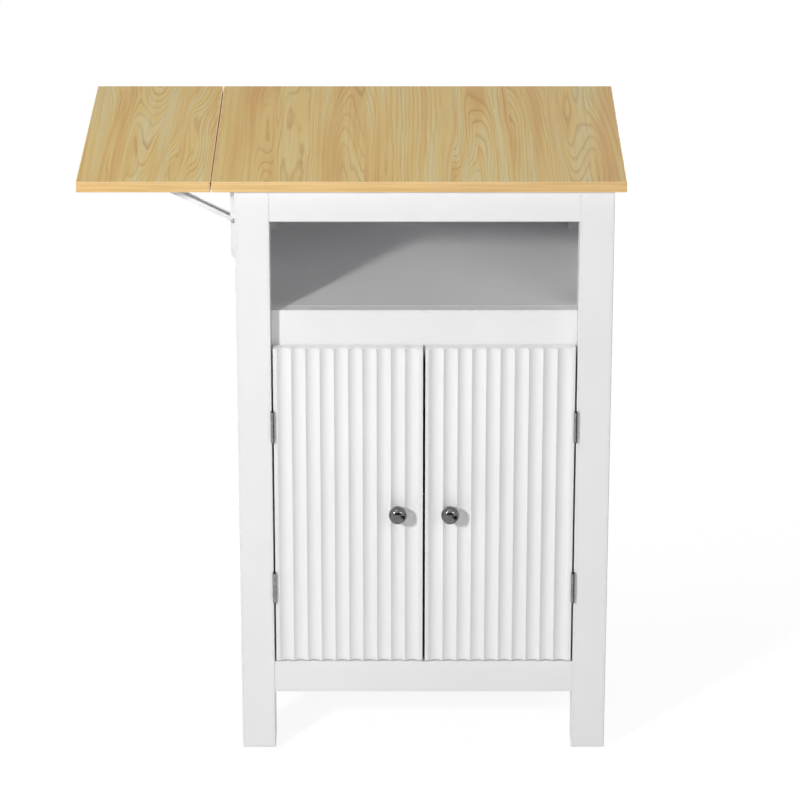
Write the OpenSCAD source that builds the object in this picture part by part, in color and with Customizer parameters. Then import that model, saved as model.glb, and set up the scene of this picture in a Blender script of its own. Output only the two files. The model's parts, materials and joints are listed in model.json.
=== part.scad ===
// Drop leaf kitchen island. A two door cupboard with an open compartment stands on
// four square legs. The left end of its worktop is a leaf that folds down on two
// steel brackets. X runs along the worktop, Y from front to back, Z up, in mm.
// The origin is on the floor, under the middle of the island with its leaf raised.

/* [Overall] */
// Height from the floor to the top of the worktop
overall_h = 914; // [890:1:940]
// Width of the cabinet across its legs
body_w = 548; // [520:1:620]
// Depth of the cabinet across its legs
body_d = 430; // [400:1:480]

/* [Worktop and leaf] */
// Thickness of the worktop and leaf boards
top_t = 16; // [15:0.5:20]
// Thickness of the edging strip round the boards
edging_t = 1; // [0.5:0.5:2]
// Overhang of the worktop past the legs at the front
front_overhang = 15; // [10:1:20]
// Overhang of the worktop past the legs at the back
back_overhang = 15; // [10:1:20]
// Overhang of the worktop past the legs at its fixed end
end_overhang = 16; // [10:1:25]
// Overhang of the worktop past the legs at the leaf's end
leaf_end_overhang = 32; // [30:1:40]
// Length of the leaf, from its seam to its free end
leaf_len = 192.5; // [186:0.5:230]
// Gap between the worktop and the leaf
seam_gap = 1.5; // [1:0.5:3]

/* [Legs and rails] */
// Width of a leg, seen from the front
leg_w = 50; // [44:1:60]
// Depth of a leg, front to back
leg_d = 50; // [44:1:60]
// Rounding of the long edges of legs and rails
edge_r = 1.5; // [0.5:0.5:3]
// Height of the top and bottom rails
rail_h = 50; // [46:1:60]
// Thickness of the rails
rail_t = 18; // [16:1:22]
// Set-back of the rails from the faces of the legs
rail_setback = 0.5; // [0.5:0.5:2]
// Height of the front bottom rail above the floor
floor_gap = 97; // [80:1:120]
// How much lower the back bottom rail reaches than the front one
back_rail_drop = 25; // [0:1:35]

/* [Cabinet] */
// Thickness of the side panels
side_t = 12; // [12:1:15]
// Set-back of the side panels from the faces of the legs
side_setback = 1; // [0.5:0.5:3]
// Thickness of the back panel
back_t = 5; // [3:0.5:6]
// Depth of the groove that holds the back panel in each leg
groove_depth = 6; // [4:1:8]
// Thickness of the shelves and the cupboard floor
shelf_t = 15; // [12:1:18]
// Height of the open compartment
open_h = 143; // [120:1:170]
// Height of the recessed middle rail that shows above the doors
mid_show = 53; // [40:1:70]
// How far the middle rail reaches down behind the doors, as their stop
stop_lap = 20; // [12:1:30]
// Height of the loose shelf's top above the cupboard floor
loose_shelf_rise = 256; // [220:1:290]
// Height step between the holes for the shelf pins
pin_step = 32; // [25:1:40]
// Diameter of the shelf pins
pin_d = 5; // [4:0.5:6]

/* [Doors] */
// Thickness of a door
door_t = 18; // [16:1:22]
// Gap above the bottom rail under each door
door_foot_gap = 2; // [1.5:0.5:4]
// Gap between the two doors
meeting_gap = 3; // [2:0.5:5]
// Gap between a door and its leg, which holds the hinge leaves
hinge_gap = 2.4; // [2.2:0.1:3]
// Gap between the back of a door and the middle rail
stop_gap = 2; // [1.5:0.5:3]
// Number of flutes on a door
flute_n = 10; // [6:1:14]
// Depth of a flute
flute_depth = 4; // [2:0.5:5]
// Flat margin of a door beside its flutes
flute_margin = 6; // [4:1:12]
// Flat ridge left between two flutes
flute_land = 0.6; // [0.4:0.1:2]
// Distance of each hinge's middle from the door's top or bottom
hinge_inset = 122; // [80:1:160]
// Height of a hinge
hinge_h = 48; // [40:1:60]
// Flute that carries the knob, counted from the meeting edge
knob_flute = 2; // [1:1:3]
// Height of the knob above the bottom of the door
knob_rise = 245; // [200:1:300]
// Diameter of the knob
knob_d = 27; // [22:1:32]
// Projection of the knob from the face of the door
knob_out = 26; // [23:1:32]

/* [Folding brackets] */
// Distance of a bracket's middle from the front or back of the legs
bracket_inset = 80; // [74:1:120]
// Thickness of the bracket's steel
sheet_t = 1.5; // [1.2:0.1:1.8]
// Drop of the arm's pivot below the leaf
arm_drop = 10; // [9.6:0.1:11]
// Distance of the pivots from the cabinet's side
pivot_out = 5.5; // [5.3:0.1:6.5]
// Drop from the arm's pivot to the strut's pivot
strut_drop = 62; // [50:1:70]
// Length of the wall arm below its pivot
wall_arm_len = 124; // [105:1:140]
// Distance from the end of the leaf arm to the leaf's free end
arm_end_inset = 7.5; // [5:0.5:15]
// Width inside the leaf arm's channel
arm_inside = 17; // [16:0.5:20]
// Radius of the bracket's rivets
rivet_r = 2; // [1.8:0.1:2.2]

/* [Hidden] */

// Colours
paint = [0.94, 0.94, 0.93];
timber = [0.86, 0.72, 0.48];
edge_tan = [0.93, 0.76, 0.50];
steel = [0.70, 0.70, 0.71];
dark_steel = [0.35, 0.35, 0.37];
beech = [0.80, 0.66, 0.46];
plastic = [0.88, 0.88, 0.87];

// Running clearance of a pivot, and the clearance of a fastener in its hole
run_gap = 0.05;
fit_gap = 0.1;
// How far a cutter runs past the face that it opens
over = 1;

// Levels
top_z0 = overall_h - top_t;
open_z1 = top_z0 - rail_h;
open_z0 = open_z1 - open_h;
door_z1 = open_z0 - mid_show;
floor_z = floor_gap + rail_h;
door_z0 = floor_z + door_foot_gap;
door_h = door_z1 - door_z0;
mid_z0 = door_z1 - stop_lap;
loose_z1 = floor_z + loose_shelf_rise;
back_rail_z0 = floor_gap - back_rail_drop;
back_panel_rise = 10;
back_panel_z0 = back_rail_z0 + back_panel_rise;

// Lengths along X
top_len = leaf_end_overhang + body_w + end_overhang;
total_len = leaf_len + seam_gap + top_len;
top_x1 = total_len / 2;
top_x0 = top_x1 - top_len;
leaf_x1 = top_x0 - seam_gap;
leaf_x0 = leaf_x1 - leaf_len;
body_x1 = top_x1 - end_overhang;
body_x0 = body_x1 - body_w;
body_cx = (body_x0 + body_x1) / 2;
in_x0 = body_x0 + leg_w;
in_x1 = body_x1 - leg_w;
side_x0 = body_x0 + side_setback;
side_in_x0 = side_x0 + side_t;
side_in_x1 = 2 * body_cx - side_in_x0;

// Depths along Y
total_d = knob_out + body_d + back_overhang;
body_y0 = knob_out - total_d / 2;
body_y1 = body_y0 + body_d;
top_y0 = body_y0 - front_overhang;
top_y1 = body_y1 + back_overhang;
leg_y0 = body_y0 + leg_d;
leg_y1 = body_y1 - leg_d;
rail_y0 = body_y0 + rail_setback;
rail_in_y0 = rail_y0 + rail_t;
rail_y1 = body_y1 - rail_setback;
back_y1 = rail_y1 - rail_t;
back_y0 = back_y1 - back_t;
door_back_y = body_y0 + door_t;
mid_y0 = door_back_y + stop_gap;
mid_y1 = mid_y0 + rail_t;

// Feet
glide_r = 11;
glide_h = 4;
glide_lip = 1;
glide_nail_r = 1.2;
glide_nail_len = 14;

// Dowels, cam bolts and cam locks
dowel_r = 3;
dowel_half = 12;
shelf_dowel_bite = 8;
dowel_pitch = 30;
dowel_end = 60;
cam_r = 7.5;
cam_depth = 12.5;
cam_reach = 30;
cam_bolt_r = 3;
cam_bolt_bite = 14;

// Screws
screw_r = 1.6;
screw_head_r = 3.4;
screw_head_h = 1.6;
screw_head_taper = 0.8;
flat_head_r = 2.7;
flat_head_h = 1.4;
short_screw = 10;

// Doors and knobs
door_w = (in_x1 - in_x0 - 2 * hinge_gap - meeting_gap) / 2;
door_x0 = in_x0 + hinge_gap;
flute_pitch = (door_w - 2 * flute_margin) / flute_n;
flute_half = (flute_pitch - flute_land) / 2;
flute_r = (flute_half * flute_half + flute_depth * flute_depth) / (2 * flute_depth);
knob_x = door_x0 + door_w - flute_margin - (knob_flute - 0.5) * flute_pitch;
knob_z = door_z0 + knob_rise;
knob_base_r = 8;
knob_base_t = 2.5;
knob_neck_r = 5.5;
knob_r = knob_d / 2;
knob_seat = flute_depth - flute_r + sqrt(flute_r * flute_r - knob_base_r * knob_base_r) - fit_gap;
knob_len = knob_out + knob_seat;
// The ball is flattened in front, so that its middle lies this share of its radius back
knob_flattening = 0.8;
knob_face_r = knob_d;
knob_ball_at = knob_len - knob_flattening * knob_r;
knob_screw_r = 2;
knob_screw_bite = 12;
knob_screw_head_r = 4;
knob_screw_head_h = 2;

// Hinges
knuckle_r = 2.9;
knuckle_out = 3.2;
knuckle_n = 5;
knuckle_gap = 0.3;
hinge_leaf_t = 1;
hinge_leaf_reach = 14;
hinge_pin_r = 1.2;
hinge_cap_r = 2.2;
hinge_cap_h = 1;
hinge_screw_pitch = 28;
hinge_screw_len = 13;
hinge_x = in_x0 + hinge_gap / 2;
hinge_y = body_y0 - knuckle_out;
hinge_zs = [door_z0 + hinge_inset, door_z1 - hinge_inset];

// Magnetic catches
catch_w = 44;
catch_d = 15;
catch_h = 12;
catch_foot_h = 3;
catch_body_w = 24;
catch_inset = 46;
catch_screw_pitch = 34;
magnet_w = 18;
magnet_h = 7;
magnet_d = 10;
strike_t = 1;
strike_w = 24;
strike_h = 11;
catch_x = door_x0 + door_w - catch_inset;
catch_y0 = door_back_y + strike_t + fit_gap;
catch_mid_z = mid_z0 - catch_h / 2;

// Folding brackets. The arm's own frame has x along the arm, away from its pivot, and
// z up to the leaf. The strut's has x from its pivot to its sliding pin.
pivot_x = side_x0 - pivot_out;
pivot_z = top_z0 - arm_drop;
bracket_ys = [body_y0 + bracket_inset, body_y1 - bracket_inset];
strut_z = pivot_z - strut_drop;
// Clearances between the wall arm, the leaf arm and the strut, which nest when folded
seat_gap = 0.5;
nest_gap = 0.3;
slot_gap = 0.2;
notch_gap = 0.7;
end_r = pivot_out - sheet_t - seat_gap;
arm_out = arm_inside + 2 * sheet_t;
arm_len = pivot_x - leaf_x0 - arm_end_inset;
slide_end_inset = 14;
slide_end = arm_len - slide_end_inset;
strut_len = slide_end - strut_drop;
slide_rest = sqrt(strut_len * strut_len - strut_drop * strut_drop);
strut_rise = asin(strut_drop / strut_len);
strut_out = arm_inside - 2 * nest_gap;
strut_sheet_t = 1.2;
strut_web_inset = end_r + 1.5;
// The leaf arm's web starts past the seam, and its flanges slope down ahead of it
seam_u = pivot_x - leaf_x1;
web_u = seam_u + 2;
web_slope = 8;
wing_w = 9.5;
wing_len = 18;
wing_hole = 5;
near_wing_inset = 20;
far_wing_inset = 24;
arm_wing_us = [seam_u + near_wing_inset, arm_len - far_wing_inset];
wall_inside = arm_out + 2 * nest_gap;
wall_out = wall_inside + 2 * sheet_t;
wall_eye_r = 4.5;
upper_wing_drop = 30;
lower_wing_inset = 14;
wall_wing_drops = [upper_wing_drop, wall_arm_len - lower_wing_inset];
rivet_head_r = 3.6;
rivet_head_h = 1.8;

// The latch, in the arm's frame. Its tooth hangs just past the sliding pin.
latch_past_notch = 14;
latch_above_arm = 1.5;
latch_u = strut_drop + latch_past_notch;
latch_v = end_r + latch_above_arm;
latch_t = 1.2;
latch_side_gap = 1;
latch_half_w = strut_out / 2 - strut_sheet_t - latch_side_gap;
latch_pin_r = 1.2;
latch_eye_r = 2.3;
latch_tab_gap = 1.5;
latch_tab_u = slide_end + end_r + latch_tab_gap;
latch_tab_drop = 4.4;
tooth_gap = 1.1;
tooth_bite = 0.6;
tooth_u = slide_rest + rivet_r + tooth_gap;
tooth_tip = rivet_r - tooth_bite;

// Angle brackets under the worktop
angle_leg = 20;
angle_w = 18;
angle_t = 1.5;
angle_hole = 12;
angle_inset = 70;
angle_ys = [leg_y0 + angle_inset, leg_y1 - angle_inset];

// Where the loose shelf lies
loose_gap = 1.5;
pin_inset = 45;
pin_out = 8;
pin_bite = 8;
pin_steps = [-1, 0, 1];
loose_y0 = leg_y0 + loose_gap;
loose_y1 = leg_y1 - loose_gap;
pin_ys = [loose_y0 + pin_inset, loose_y1 - pin_inset];
pin_z = loose_z1 - shelf_t - pin_d / 2;

// Each rail between the legs, as [middle in Y, middle in Z, face that takes its locks]
rail_rows = [
    [rail_y0 + rail_t / 2, open_z1 + rail_h / 2, rail_in_y0],
    [back_y1 + rail_t / 2, open_z1 + rail_h / 2, rail_y1],
    [rail_y0 + rail_t / 2, floor_gap + rail_h / 2, rail_in_y0],
    [back_y1 + rail_t / 2, back_rail_z0 + (rail_h + back_rail_drop) / 2, rail_y1]
];
panel_dowel_zs = [floor_gap + dowel_end, (floor_gap + top_z0) / 2, top_z0 - dowel_end];
board_dowel_ys = [leg_y0 + dowel_end, leg_y1 - dowel_end];

// A box between two corners
module block(lo, hi) {
    translate(lo)
        cube(hi - lo);
}

module rounded_rect(w, h, r) {
    translate([r, 0])
        square([w - 2 * r, h]);
    translate([0, r])
        square([w, h - 2 * r]);
    for (x = [r, w - r], y = [r, h - r])
        translate([x, y])
            circle(r, $fn = 32);
}

// A bar along X between two corners, with its long edges rounded
module bar_x(lo, hi, r) {
    size = hi - lo;
    translate(lo)
        rotate([90, 0, 90])
            linear_extrude(size[0])
                rounded_rect(size[1], size[2], r);
}

// A bar along Z between two corners, with its long edges rounded
module bar_z(lo, hi, r) {
    size = hi - lo;
    translate(lo)
        linear_extrude(size[2])
            rounded_rect(size[0], size[1], r);
}

// A rod along X, reaching back and ahead of its point
module rod_x(at, r, back, ahead) {
    translate(at - [back, 0, 0])
        rotate([0, 90, 0])
            cylinder(r = r, h = back + ahead, $fn = 32);
}

// A rod along Y, centred on its point
module rod_y(at, r, half) {
    translate(at + [0, half, 0])
        rotate([90, 0, 0])
            cylinder(r = r, h = 2 * half, $fn = 48);
}

// The same on the other side of the cabinet
module other_side() {
    translate([2 * body_cx, 0, 0])
        mirror([1, 0, 0])
            children();
}

module both_sides() {
    children();
    other_side()
        children();
}

// A screw whose domed head stands on the plane z = 0, with its shank below
module pan_screw(length) {
    cylinder(r1 = screw_head_r, r2 = screw_head_r - screw_head_taper, h = screw_head_h, $fn = 32);
    translate([0, 0, -length])
        cylinder(r = screw_r, h = length, $fn = 24);
}

// The hole for its shank, through anything that lies up to lift above z = 0
module pan_hole(length, lift) {
    translate([0, 0, -length - fit_gap])
        cylinder(r = screw_r + fit_gap, h = length + fit_gap + lift, $fn = 24);
}

// A countersunk screw, its head flush with the plane z = 0
module flat_screw(length, grow) {
    translate([0, 0, -flat_head_h])
        cylinder(r1 = screw_r + grow, r2 = flat_head_r + grow, h = flat_head_h, $fn = 32);
    translate([0, 0, -length - grow])
        cylinder(r = screw_r + grow, h = length + grow - flat_head_h, $fn = 24);
}

// Worktop and leaf: a board with a strip of edging on each edge

module top_core(x0, x1) {
    block([x0 + edging_t, top_y0 + edging_t, top_z0], [x1 - edging_t, top_y1 - edging_t, overall_h]);
}

module top_edging(x0, x1) {
    for (y = [top_y0, top_y1 - edging_t])
        block([x0, y, top_z0], [x1, y + edging_t, overall_h]);
    for (x = [x0, x1 - edging_t])
        block([x, top_y0 + edging_t, top_z0], [x + edging_t, top_y1 - edging_t, overall_h]);
}

module worktop() {
    color(timber)
        difference() {
            top_core(top_x0, top_x1);
            both_sides()
                at_top_angle_tops()
                    pan_hole(short_screw, over);
        }
}

module worktop_edging() {
    color(edge_tan)
        top_edging(top_x0, top_x1);
}

module drop_leaf() {
    color(timber)
        difference() {
            top_core(leaf_x0, leaf_x1);
            at_leaf_arm_screws()
                pan_hole(short_screw, over);
        }
}

module leaf_edging() {
    color(edge_tan)
        top_edging(leaf_x0, leaf_x1);
}

// Legs, rails and panels

module leg(x0, y0) {
    difference() {
        bar_z([x0, y0, glide_h], [x0 + leg_w, y0 + leg_d, top_z0], edge_r);
        all_dowels(fit_gap);
        all_cam_bolts(fit_gap);
        both_sides()
            frame_hinge_screw_set(fit_gap);
        translate([x0 + leg_w / 2, y0 + leg_d / 2, glide_h - over])
            cylinder(r = glide_nail_r + fit_gap, h = glide_nail_len + over + fit_gap, $fn = 24);
    }
}

module back_panel_groove() {
    block(
        [in_x0 - groove_depth, back_y0 - fit_gap, back_panel_z0 - fit_gap],
        [in_x1 + groove_depth, back_y1 + fit_gap, top_z0 + over]
    );
}

module leg_front_left() {
    color(paint)
        leg(body_x0, body_y0);
}

module leg_front_right() {
    color(paint)
        leg(in_x1, body_y0);
}

module leg_back_left() {
    color(paint)
        difference() {
            leg(body_x0, leg_y1);
            back_panel_groove();
        }
}

module leg_back_right() {
    color(paint)
        difference() {
            leg(in_x1, leg_y1);
            back_panel_groove();
        }
}

module foot_glides() {
    color(plastic)
        for (x = [body_x0, in_x1], y = [body_y0, leg_y1])
            translate([x + leg_w / 2, y + leg_d / 2, 0]) {
                cylinder(r1 = glide_r - glide_lip, r2 = glide_r, h = glide_lip, $fn = 48);
                translate([0, 0, glide_lip])
                    cylinder(r = glide_r, h = glide_h - glide_lip, $fn = 48);
                translate([0, 0, glide_lip])
                    cylinder(r = glide_nail_r, h = glide_h - glide_lip + glide_nail_len, $fn = 24);
            }
}

module rail(y0, z0, h) {
    color(paint)
        difference() {
            bar_x([in_x0, y0, z0], [in_x1, y0 + rail_t, z0 + h], edge_r);
            all_dowels(fit_gap);
            all_cam_bolts(fit_gap);
            all_cam_locks(fit_gap, over);
        }
}

module top_rail_front() {
    rail(rail_y0, open_z1, rail_h);
}

module top_rail_back() {
    rail(back_y1, open_z1, rail_h);
}

module bottom_rail_front() {
    rail(rail_y0, floor_gap, rail_h);
}

module bottom_rail_back() {
    rail(back_y1, back_rail_z0, rail_h + back_rail_drop);
}

// The left side panel, with its holes for shelf pins and for the angle brackets
module side_board() {
    difference() {
        block([side_x0, leg_y0, floor_gap], [side_in_x0, leg_y1, top_z0]);
        for (y = pin_ys, i = pin_steps)
            rod_x([side_in_x0, y, pin_z + i * pin_step], pin_d / 2 + fit_gap, pin_bite, over);
        at_top_angle_sides()
            pan_hole(short_screw, over);
    }
}

module side_panel_left() {
    color(paint)
        difference() {
            side_board();
            all_dowels(fit_gap);
            at_wall_arm_screws()
                pan_hole(short_screw, over);
        }
}

module side_panel_right() {
    color(paint)
        difference() {
            other_side()
                side_board();
            all_dowels(fit_gap);
        }
}

module back_panel() {
    color(paint)
        block(
            [in_x0 - groove_depth + fit_gap, back_y0, back_panel_z0],
            [in_x1 + groove_depth - fit_gap, back_y1, top_z0]
        );
}

// A board that fills the cabinet between its legs and panels, from y0 to the back panel
module fitted_board(y0, z1) {
    color(paint)
        difference() {
            union() {
                block([in_x0, y0, z1 - shelf_t], [in_x1, back_y0, z1]);
                block([side_in_x0, leg_y0, z1 - shelf_t], [side_in_x1, leg_y1, z1]);
            }
            all_dowels(fit_gap);
        }
}

module compartment_shelf() {
    fitted_board(mid_y1, open_z0);
}

module cupboard_floor() {
    fitted_board(rail_in_y0, floor_z);
}

module middle_rail() {
    color(paint)
        difference() {
            bar_x([in_x0, mid_y0, mid_z0], [in_x1, mid_y1, open_z0], edge_r);
            all_dowels(fit_gap);
            both_sides()
                at_catch_screws()
                    pan_hole(short_screw, over);
        }
}

module loose_shelf() {
    color(paint)
        block(
            [side_in_x0 + loose_gap, loose_y0, loose_z1 - shelf_t],
            [side_in_x1 - loose_gap, loose_y1, loose_z1]
        );
}

module shelf_pins() {
    color(steel)
        both_sides()
            for (y = pin_ys)
                rod_x([side_in_x0, y, pin_z], pin_d / 2, pin_bite, pin_out);
}

// Hidden joinery

module all_dowels(grow) {
    half = dowel_half + grow;
    r = dowel_r + grow;
    for (row = rail_rows, x = [in_x0, in_x1], s = [-0.5, 0.5])
        rod_x([x, row[0], row[1] + s * dowel_pitch], r, half, half);
    for (x = [in_x0, in_x1], s = [-0.5, 0.5])
        rod_x([x, (mid_y0 + mid_y1) / 2, (mid_z0 + open_z0) / 2 + s * dowel_pitch], r, half, half);
    for (x = [side_x0 + side_t / 2, side_in_x1 + side_t / 2], y = [leg_y0, leg_y1], z = panel_dowel_zs)
        rod_y([x, y, z], r, half);
    for (x = [side_in_x0, side_in_x1], y = board_dowel_ys, z = [open_z0, floor_z])
        rod_x([x, y, z - shelf_t / 2], r, shelf_dowel_bite + grow, shelf_dowel_bite + grow);
}

module dowels() {
    color(beech)
        all_dowels(0);
}

// Bolts that run from the legs into the rails, as far as the locks
module all_cam_bolts(grow) {
    for (row = rail_rows)
        both_sides()
            rod_x([in_x0, row[0], row[1]], cam_bolt_r + grow, cam_bolt_bite + grow, cam_reach - cam_r + grow);
}

module cam_bolts() {
    color(steel)
        all_cam_bolts(0);
}

// Locks let into the rails. The back rails take theirs from behind.
module all_cam_locks(grow, past) {
    for (row = rail_rows)
        both_sides()
            translate([in_x0 + cam_reach, row[2] + past, row[1]])
                rotate([90, 0, 0])
                    cylinder(r = cam_r + grow, h = cam_depth + grow + past, $fn = 48);
}

module cam_locks() {
    color(steel)
        all_cam_locks(0, 0);
}

// Angle brackets between the side panels and the worktop

module at_top_angle_tops() {
    for (y = angle_ys)
        translate([side_in_x0 + angle_hole, y, top_z0 - angle_t])
            mirror([0, 0, 1])
                children();
}

module at_top_angle_sides() {
    for (y = angle_ys)
        translate([side_in_x0 + angle_t, y, top_z0 - angle_hole])
            rotate([0, 90, 0])
                children();
}

module top_angles() {
    color(steel)
        both_sides()
            difference() {
                for (y = angle_ys)
                    translate([side_in_x0, y - angle_w / 2, top_z0 - angle_leg]) {
                        cube([angle_t, angle_w, angle_leg]);
                        translate([0, 0, angle_leg - angle_t])
                            cube([angle_leg, angle_w, angle_t]);
                    }
                at_top_angle_tops()
                    pan_hole(short_screw, over);
                at_top_angle_sides()
                    pan_hole(short_screw, over);
            }
}

module top_angle_screws() {
    color(steel)
        both_sides() {
            at_top_angle_tops()
                pan_screw(short_screw);
            at_top_angle_sides()
                pan_screw(short_screw);
        }
}

// Doors. Everything on the right is the left one's mirror image.

module door() {
    color(paint)
        difference() {
            block([door_x0, body_y0, door_z0], [door_x0 + door_w, door_back_y, door_z1]);
            for (i = [0 : flute_n - 1])
                translate([
                    door_x0 + flute_margin + (i + 0.5) * flute_pitch,
                    body_y0 + flute_depth - flute_r,
                    door_z0 - over
                ])
                    cylinder(r = flute_r, h = door_h + 2 * over, $fn = 128);
            rod_y([knob_x, door_back_y, knob_z], knob_screw_r + fit_gap, door_t + over);
            door_hinge_screw_set(fit_gap);
            at_strike_screw()
                flat_screw(hinge_screw_len, fit_gap);
        }
}

module door_left() {
    door();
}

module door_right() {
    other_side()
        door();
}

// A turned knob: a base, a neck and a flattened ball, on its axis along -Y
module knob() {
    color(steel)
        translate([knob_x, body_y0 + knob_seat, knob_z])
            rotate([90, 0, 0])
                difference() {
                    rotate_extrude($fn = 64)
                        knob_profile();
                    translate([0, 0, -over])
                        cylinder(r = knob_screw_r + run_gap, h = knob_screw_bite + over + fit_gap, $fn = 24);
                }
}

// The ball's section is a circle whose front is flattened by a larger one
module knob_profile() {
    square([knob_base_r, knob_base_t]);
    square([knob_neck_r, knob_ball_at]);
    intersection() {
        translate([0, knob_ball_at])
            circle(knob_r, $fn = 96);
        translate([0, knob_len - knob_face_r])
            circle(knob_face_r, $fn = 128);
        square([knob_r + over, knob_len + over]);
    }
}

module knob_left() {
    knob();
}

module knob_right() {
    other_side()
        knob();
}

module knob_screw() {
    color(steel) {
        rod_y_from([knob_x, door_back_y, knob_z], knob_screw_r, door_t - knob_seat + knob_screw_bite);
        translate([knob_x, door_back_y + knob_screw_head_h, knob_z])
            rotate([90, 0, 0])
                cylinder(r = knob_screw_head_r, h = knob_screw_head_h, $fn = 32);
    }
}

// A rod along -Y from its point
module rod_y_from(at, r, length) {
    translate(at)
        rotate([90, 0, 0])
            cylinder(r = r, h = length, $fn = 32);
}

module knob_screw_left() {
    knob_screw();
}

module knob_screw_right() {
    other_side()
        knob_screw();
}

// Butt hinges

// One hinge leaf. It lies against x, and its knuckles are the even or the odd ones.
module hinge_leaf(x, first) {
    step = hinge_h / knuckle_n;
    for (z = hinge_zs)
        difference() {
            union() {
                translate([x, hinge_y + knuckle_r + knuckle_gap, z - hinge_h / 2])
                    cube([hinge_leaf_t, hinge_leaf_reach - knuckle_r, hinge_h]);
                for (i = [first : 2 : knuckle_n - 1])
                    translate([0, hinge_y, z - hinge_h / 2 + i * step + knuckle_gap / 2]) {
                        translate([hinge_x, 0, 0])
                            cylinder(r = knuckle_r, h = step - knuckle_gap, $fn = 48);
                        translate([x, 0, 0])
                            cube([hinge_leaf_t, knuckle_r + 2 * knuckle_gap, step - knuckle_gap]);
                    }
            }
            translate([hinge_x, hinge_y, z - hinge_h / 2 - over])
                cylinder(r = hinge_pin_r + run_gap, h = hinge_h + 2 * over, $fn = 24);
            frame_hinge_screw_set(fit_gap);
            door_hinge_screw_set(fit_gap);
        }
}

module frame_hinge_leaves() {
    color(dark_steel)
        both_sides()
            hinge_leaf(in_x0, 0);
}

module door_hinge_leaves() {
    color(dark_steel)
        hinge_leaf(door_x0 - hinge_leaf_t, 1);
}

module door_hinge_leaves_left() {
    door_hinge_leaves();
}

module door_hinge_leaves_right() {
    other_side()
        door_hinge_leaves();
}

module hinge_pins() {
    color(steel)
        both_sides()
            for (z = hinge_zs)
                translate([hinge_x, hinge_y, z - hinge_h / 2]) {
                    cylinder(r = hinge_pin_r, h = hinge_h, $fn = 24);
                    for (at = [-hinge_cap_h, hinge_h])
                        translate([0, 0, at])
                            cylinder(r = hinge_cap_r, h = hinge_cap_h, $fn = 32);
                }
}

module at_hinge_screws() {
    for (z = hinge_zs, s = [-0.5, 0.5])
        translate([0, body_y0 + hinge_leaf_reach / 2, z + s * hinge_screw_pitch])
            children();
}

module frame_hinge_screw_set(grow) {
    at_hinge_screws()
        translate([in_x0 + hinge_leaf_t, 0, 0])
            rotate([0, 90, 0])
                flat_screw(hinge_screw_len, grow);
}

module door_hinge_screw_set(grow) {
    at_hinge_screws()
        translate([door_x0 - hinge_leaf_t, 0, 0])
            rotate([0, -90, 0])
                flat_screw(hinge_screw_len, grow);
}

module frame_hinge_screws() {
    color(steel)
        both_sides()
            frame_hinge_screw_set(0);
}

module door_screws() {
    color(steel) {
        door_hinge_screw_set(0);
        at_strike_screw()
            flat_screw(hinge_screw_len, 0);
    }
}

module door_screws_left() {
    door_screws();
}

module door_screws_right() {
    other_side()
        door_screws();
}

// Magnetic catches on the underside of the middle rail, and their strikes on the doors

module at_catch_screws() {
    for (s = [-0.5, 0.5])
        translate([catch_x + s * catch_screw_pitch, catch_y0 + catch_d / 2, mid_z0 - catch_foot_h])
            mirror([0, 0, 1])
                children();
}

module catch_housings() {
    color(plastic)
        both_sides()
            difference() {
                union() {
                    block(
                        [catch_x - catch_w / 2, catch_y0, mid_z0 - catch_foot_h],
                        [catch_x + catch_w / 2, catch_y0 + catch_d, mid_z0]
                    );
                    block(
                        [catch_x - catch_body_w / 2, catch_y0, mid_z0 - catch_h],
                        [catch_x + catch_body_w / 2, catch_y0 + catch_d, mid_z0]
                    );
                }
                magnet_block(fit_gap, over);
                at_catch_screws()
                    pan_hole(short_screw, over);
            }
}

module magnet_block(grow, past) {
    block(
        [catch_x - magnet_w / 2 - grow, catch_y0 - past, catch_mid_z - magnet_h / 2 - grow],
        [catch_x + magnet_w / 2 + grow, catch_y0 + magnet_d + grow, catch_mid_z + magnet_h / 2 + grow]
    );
}

module catch_magnets() {
    color(dark_steel)
        both_sides()
            magnet_block(0, 0);
}

module catch_screws() {
    color(steel)
        both_sides()
            at_catch_screws()
                pan_screw(short_screw);
}

module at_strike_screw() {
    translate([catch_x, door_back_y + strike_t, catch_mid_z])
        rotate([-90, 0, 0])
            children();
}

module strike_plate() {
    color(steel)
        difference() {
            block(
                [catch_x - strike_w / 2, door_back_y, catch_mid_z - strike_h / 2],
                [catch_x + strike_w / 2, door_back_y + strike_t, catch_mid_z + strike_h / 2]
            );
            at_strike_screw()
                flat_screw(hinge_screw_len, fit_gap);
        }
}

module strike_plate_left() {
    strike_plate();
}

module strike_plate_right() {
    other_side()
        strike_plate();
}

// Folding brackets

module at_arm(y) {
    translate([pivot_x, y, pivot_z])
        mirror([1, 0, 0])
            children();
}

module at_strut(y) {
    translate([pivot_x, y, strut_z])
        mirror([1, 0, 0])
            rotate([0, -strut_rise, 0])
                children();
}

// A plate in the plane of x and z, as thick as t, centred on y
module side_plate(y, t) {
    translate([0, y, 0])
        rotate([90, 0, 0])
            linear_extrude(t, center = true)
                children();
}

// A row of holes for screws up into the leaf
module at_leaf_arm_screws() {
    for (y = bracket_ys)
        at_arm(y)
            for (u = arm_wing_us, s = [-1, 1])
                translate([u, s * (arm_out / 2 + wing_hole), arm_drop - sheet_t])
                    mirror([0, 0, 1])
                        children();
}

module leaf_arm_screws() {
    color(steel)
        at_leaf_arm_screws()
            pan_screw(short_screw);
}

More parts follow.
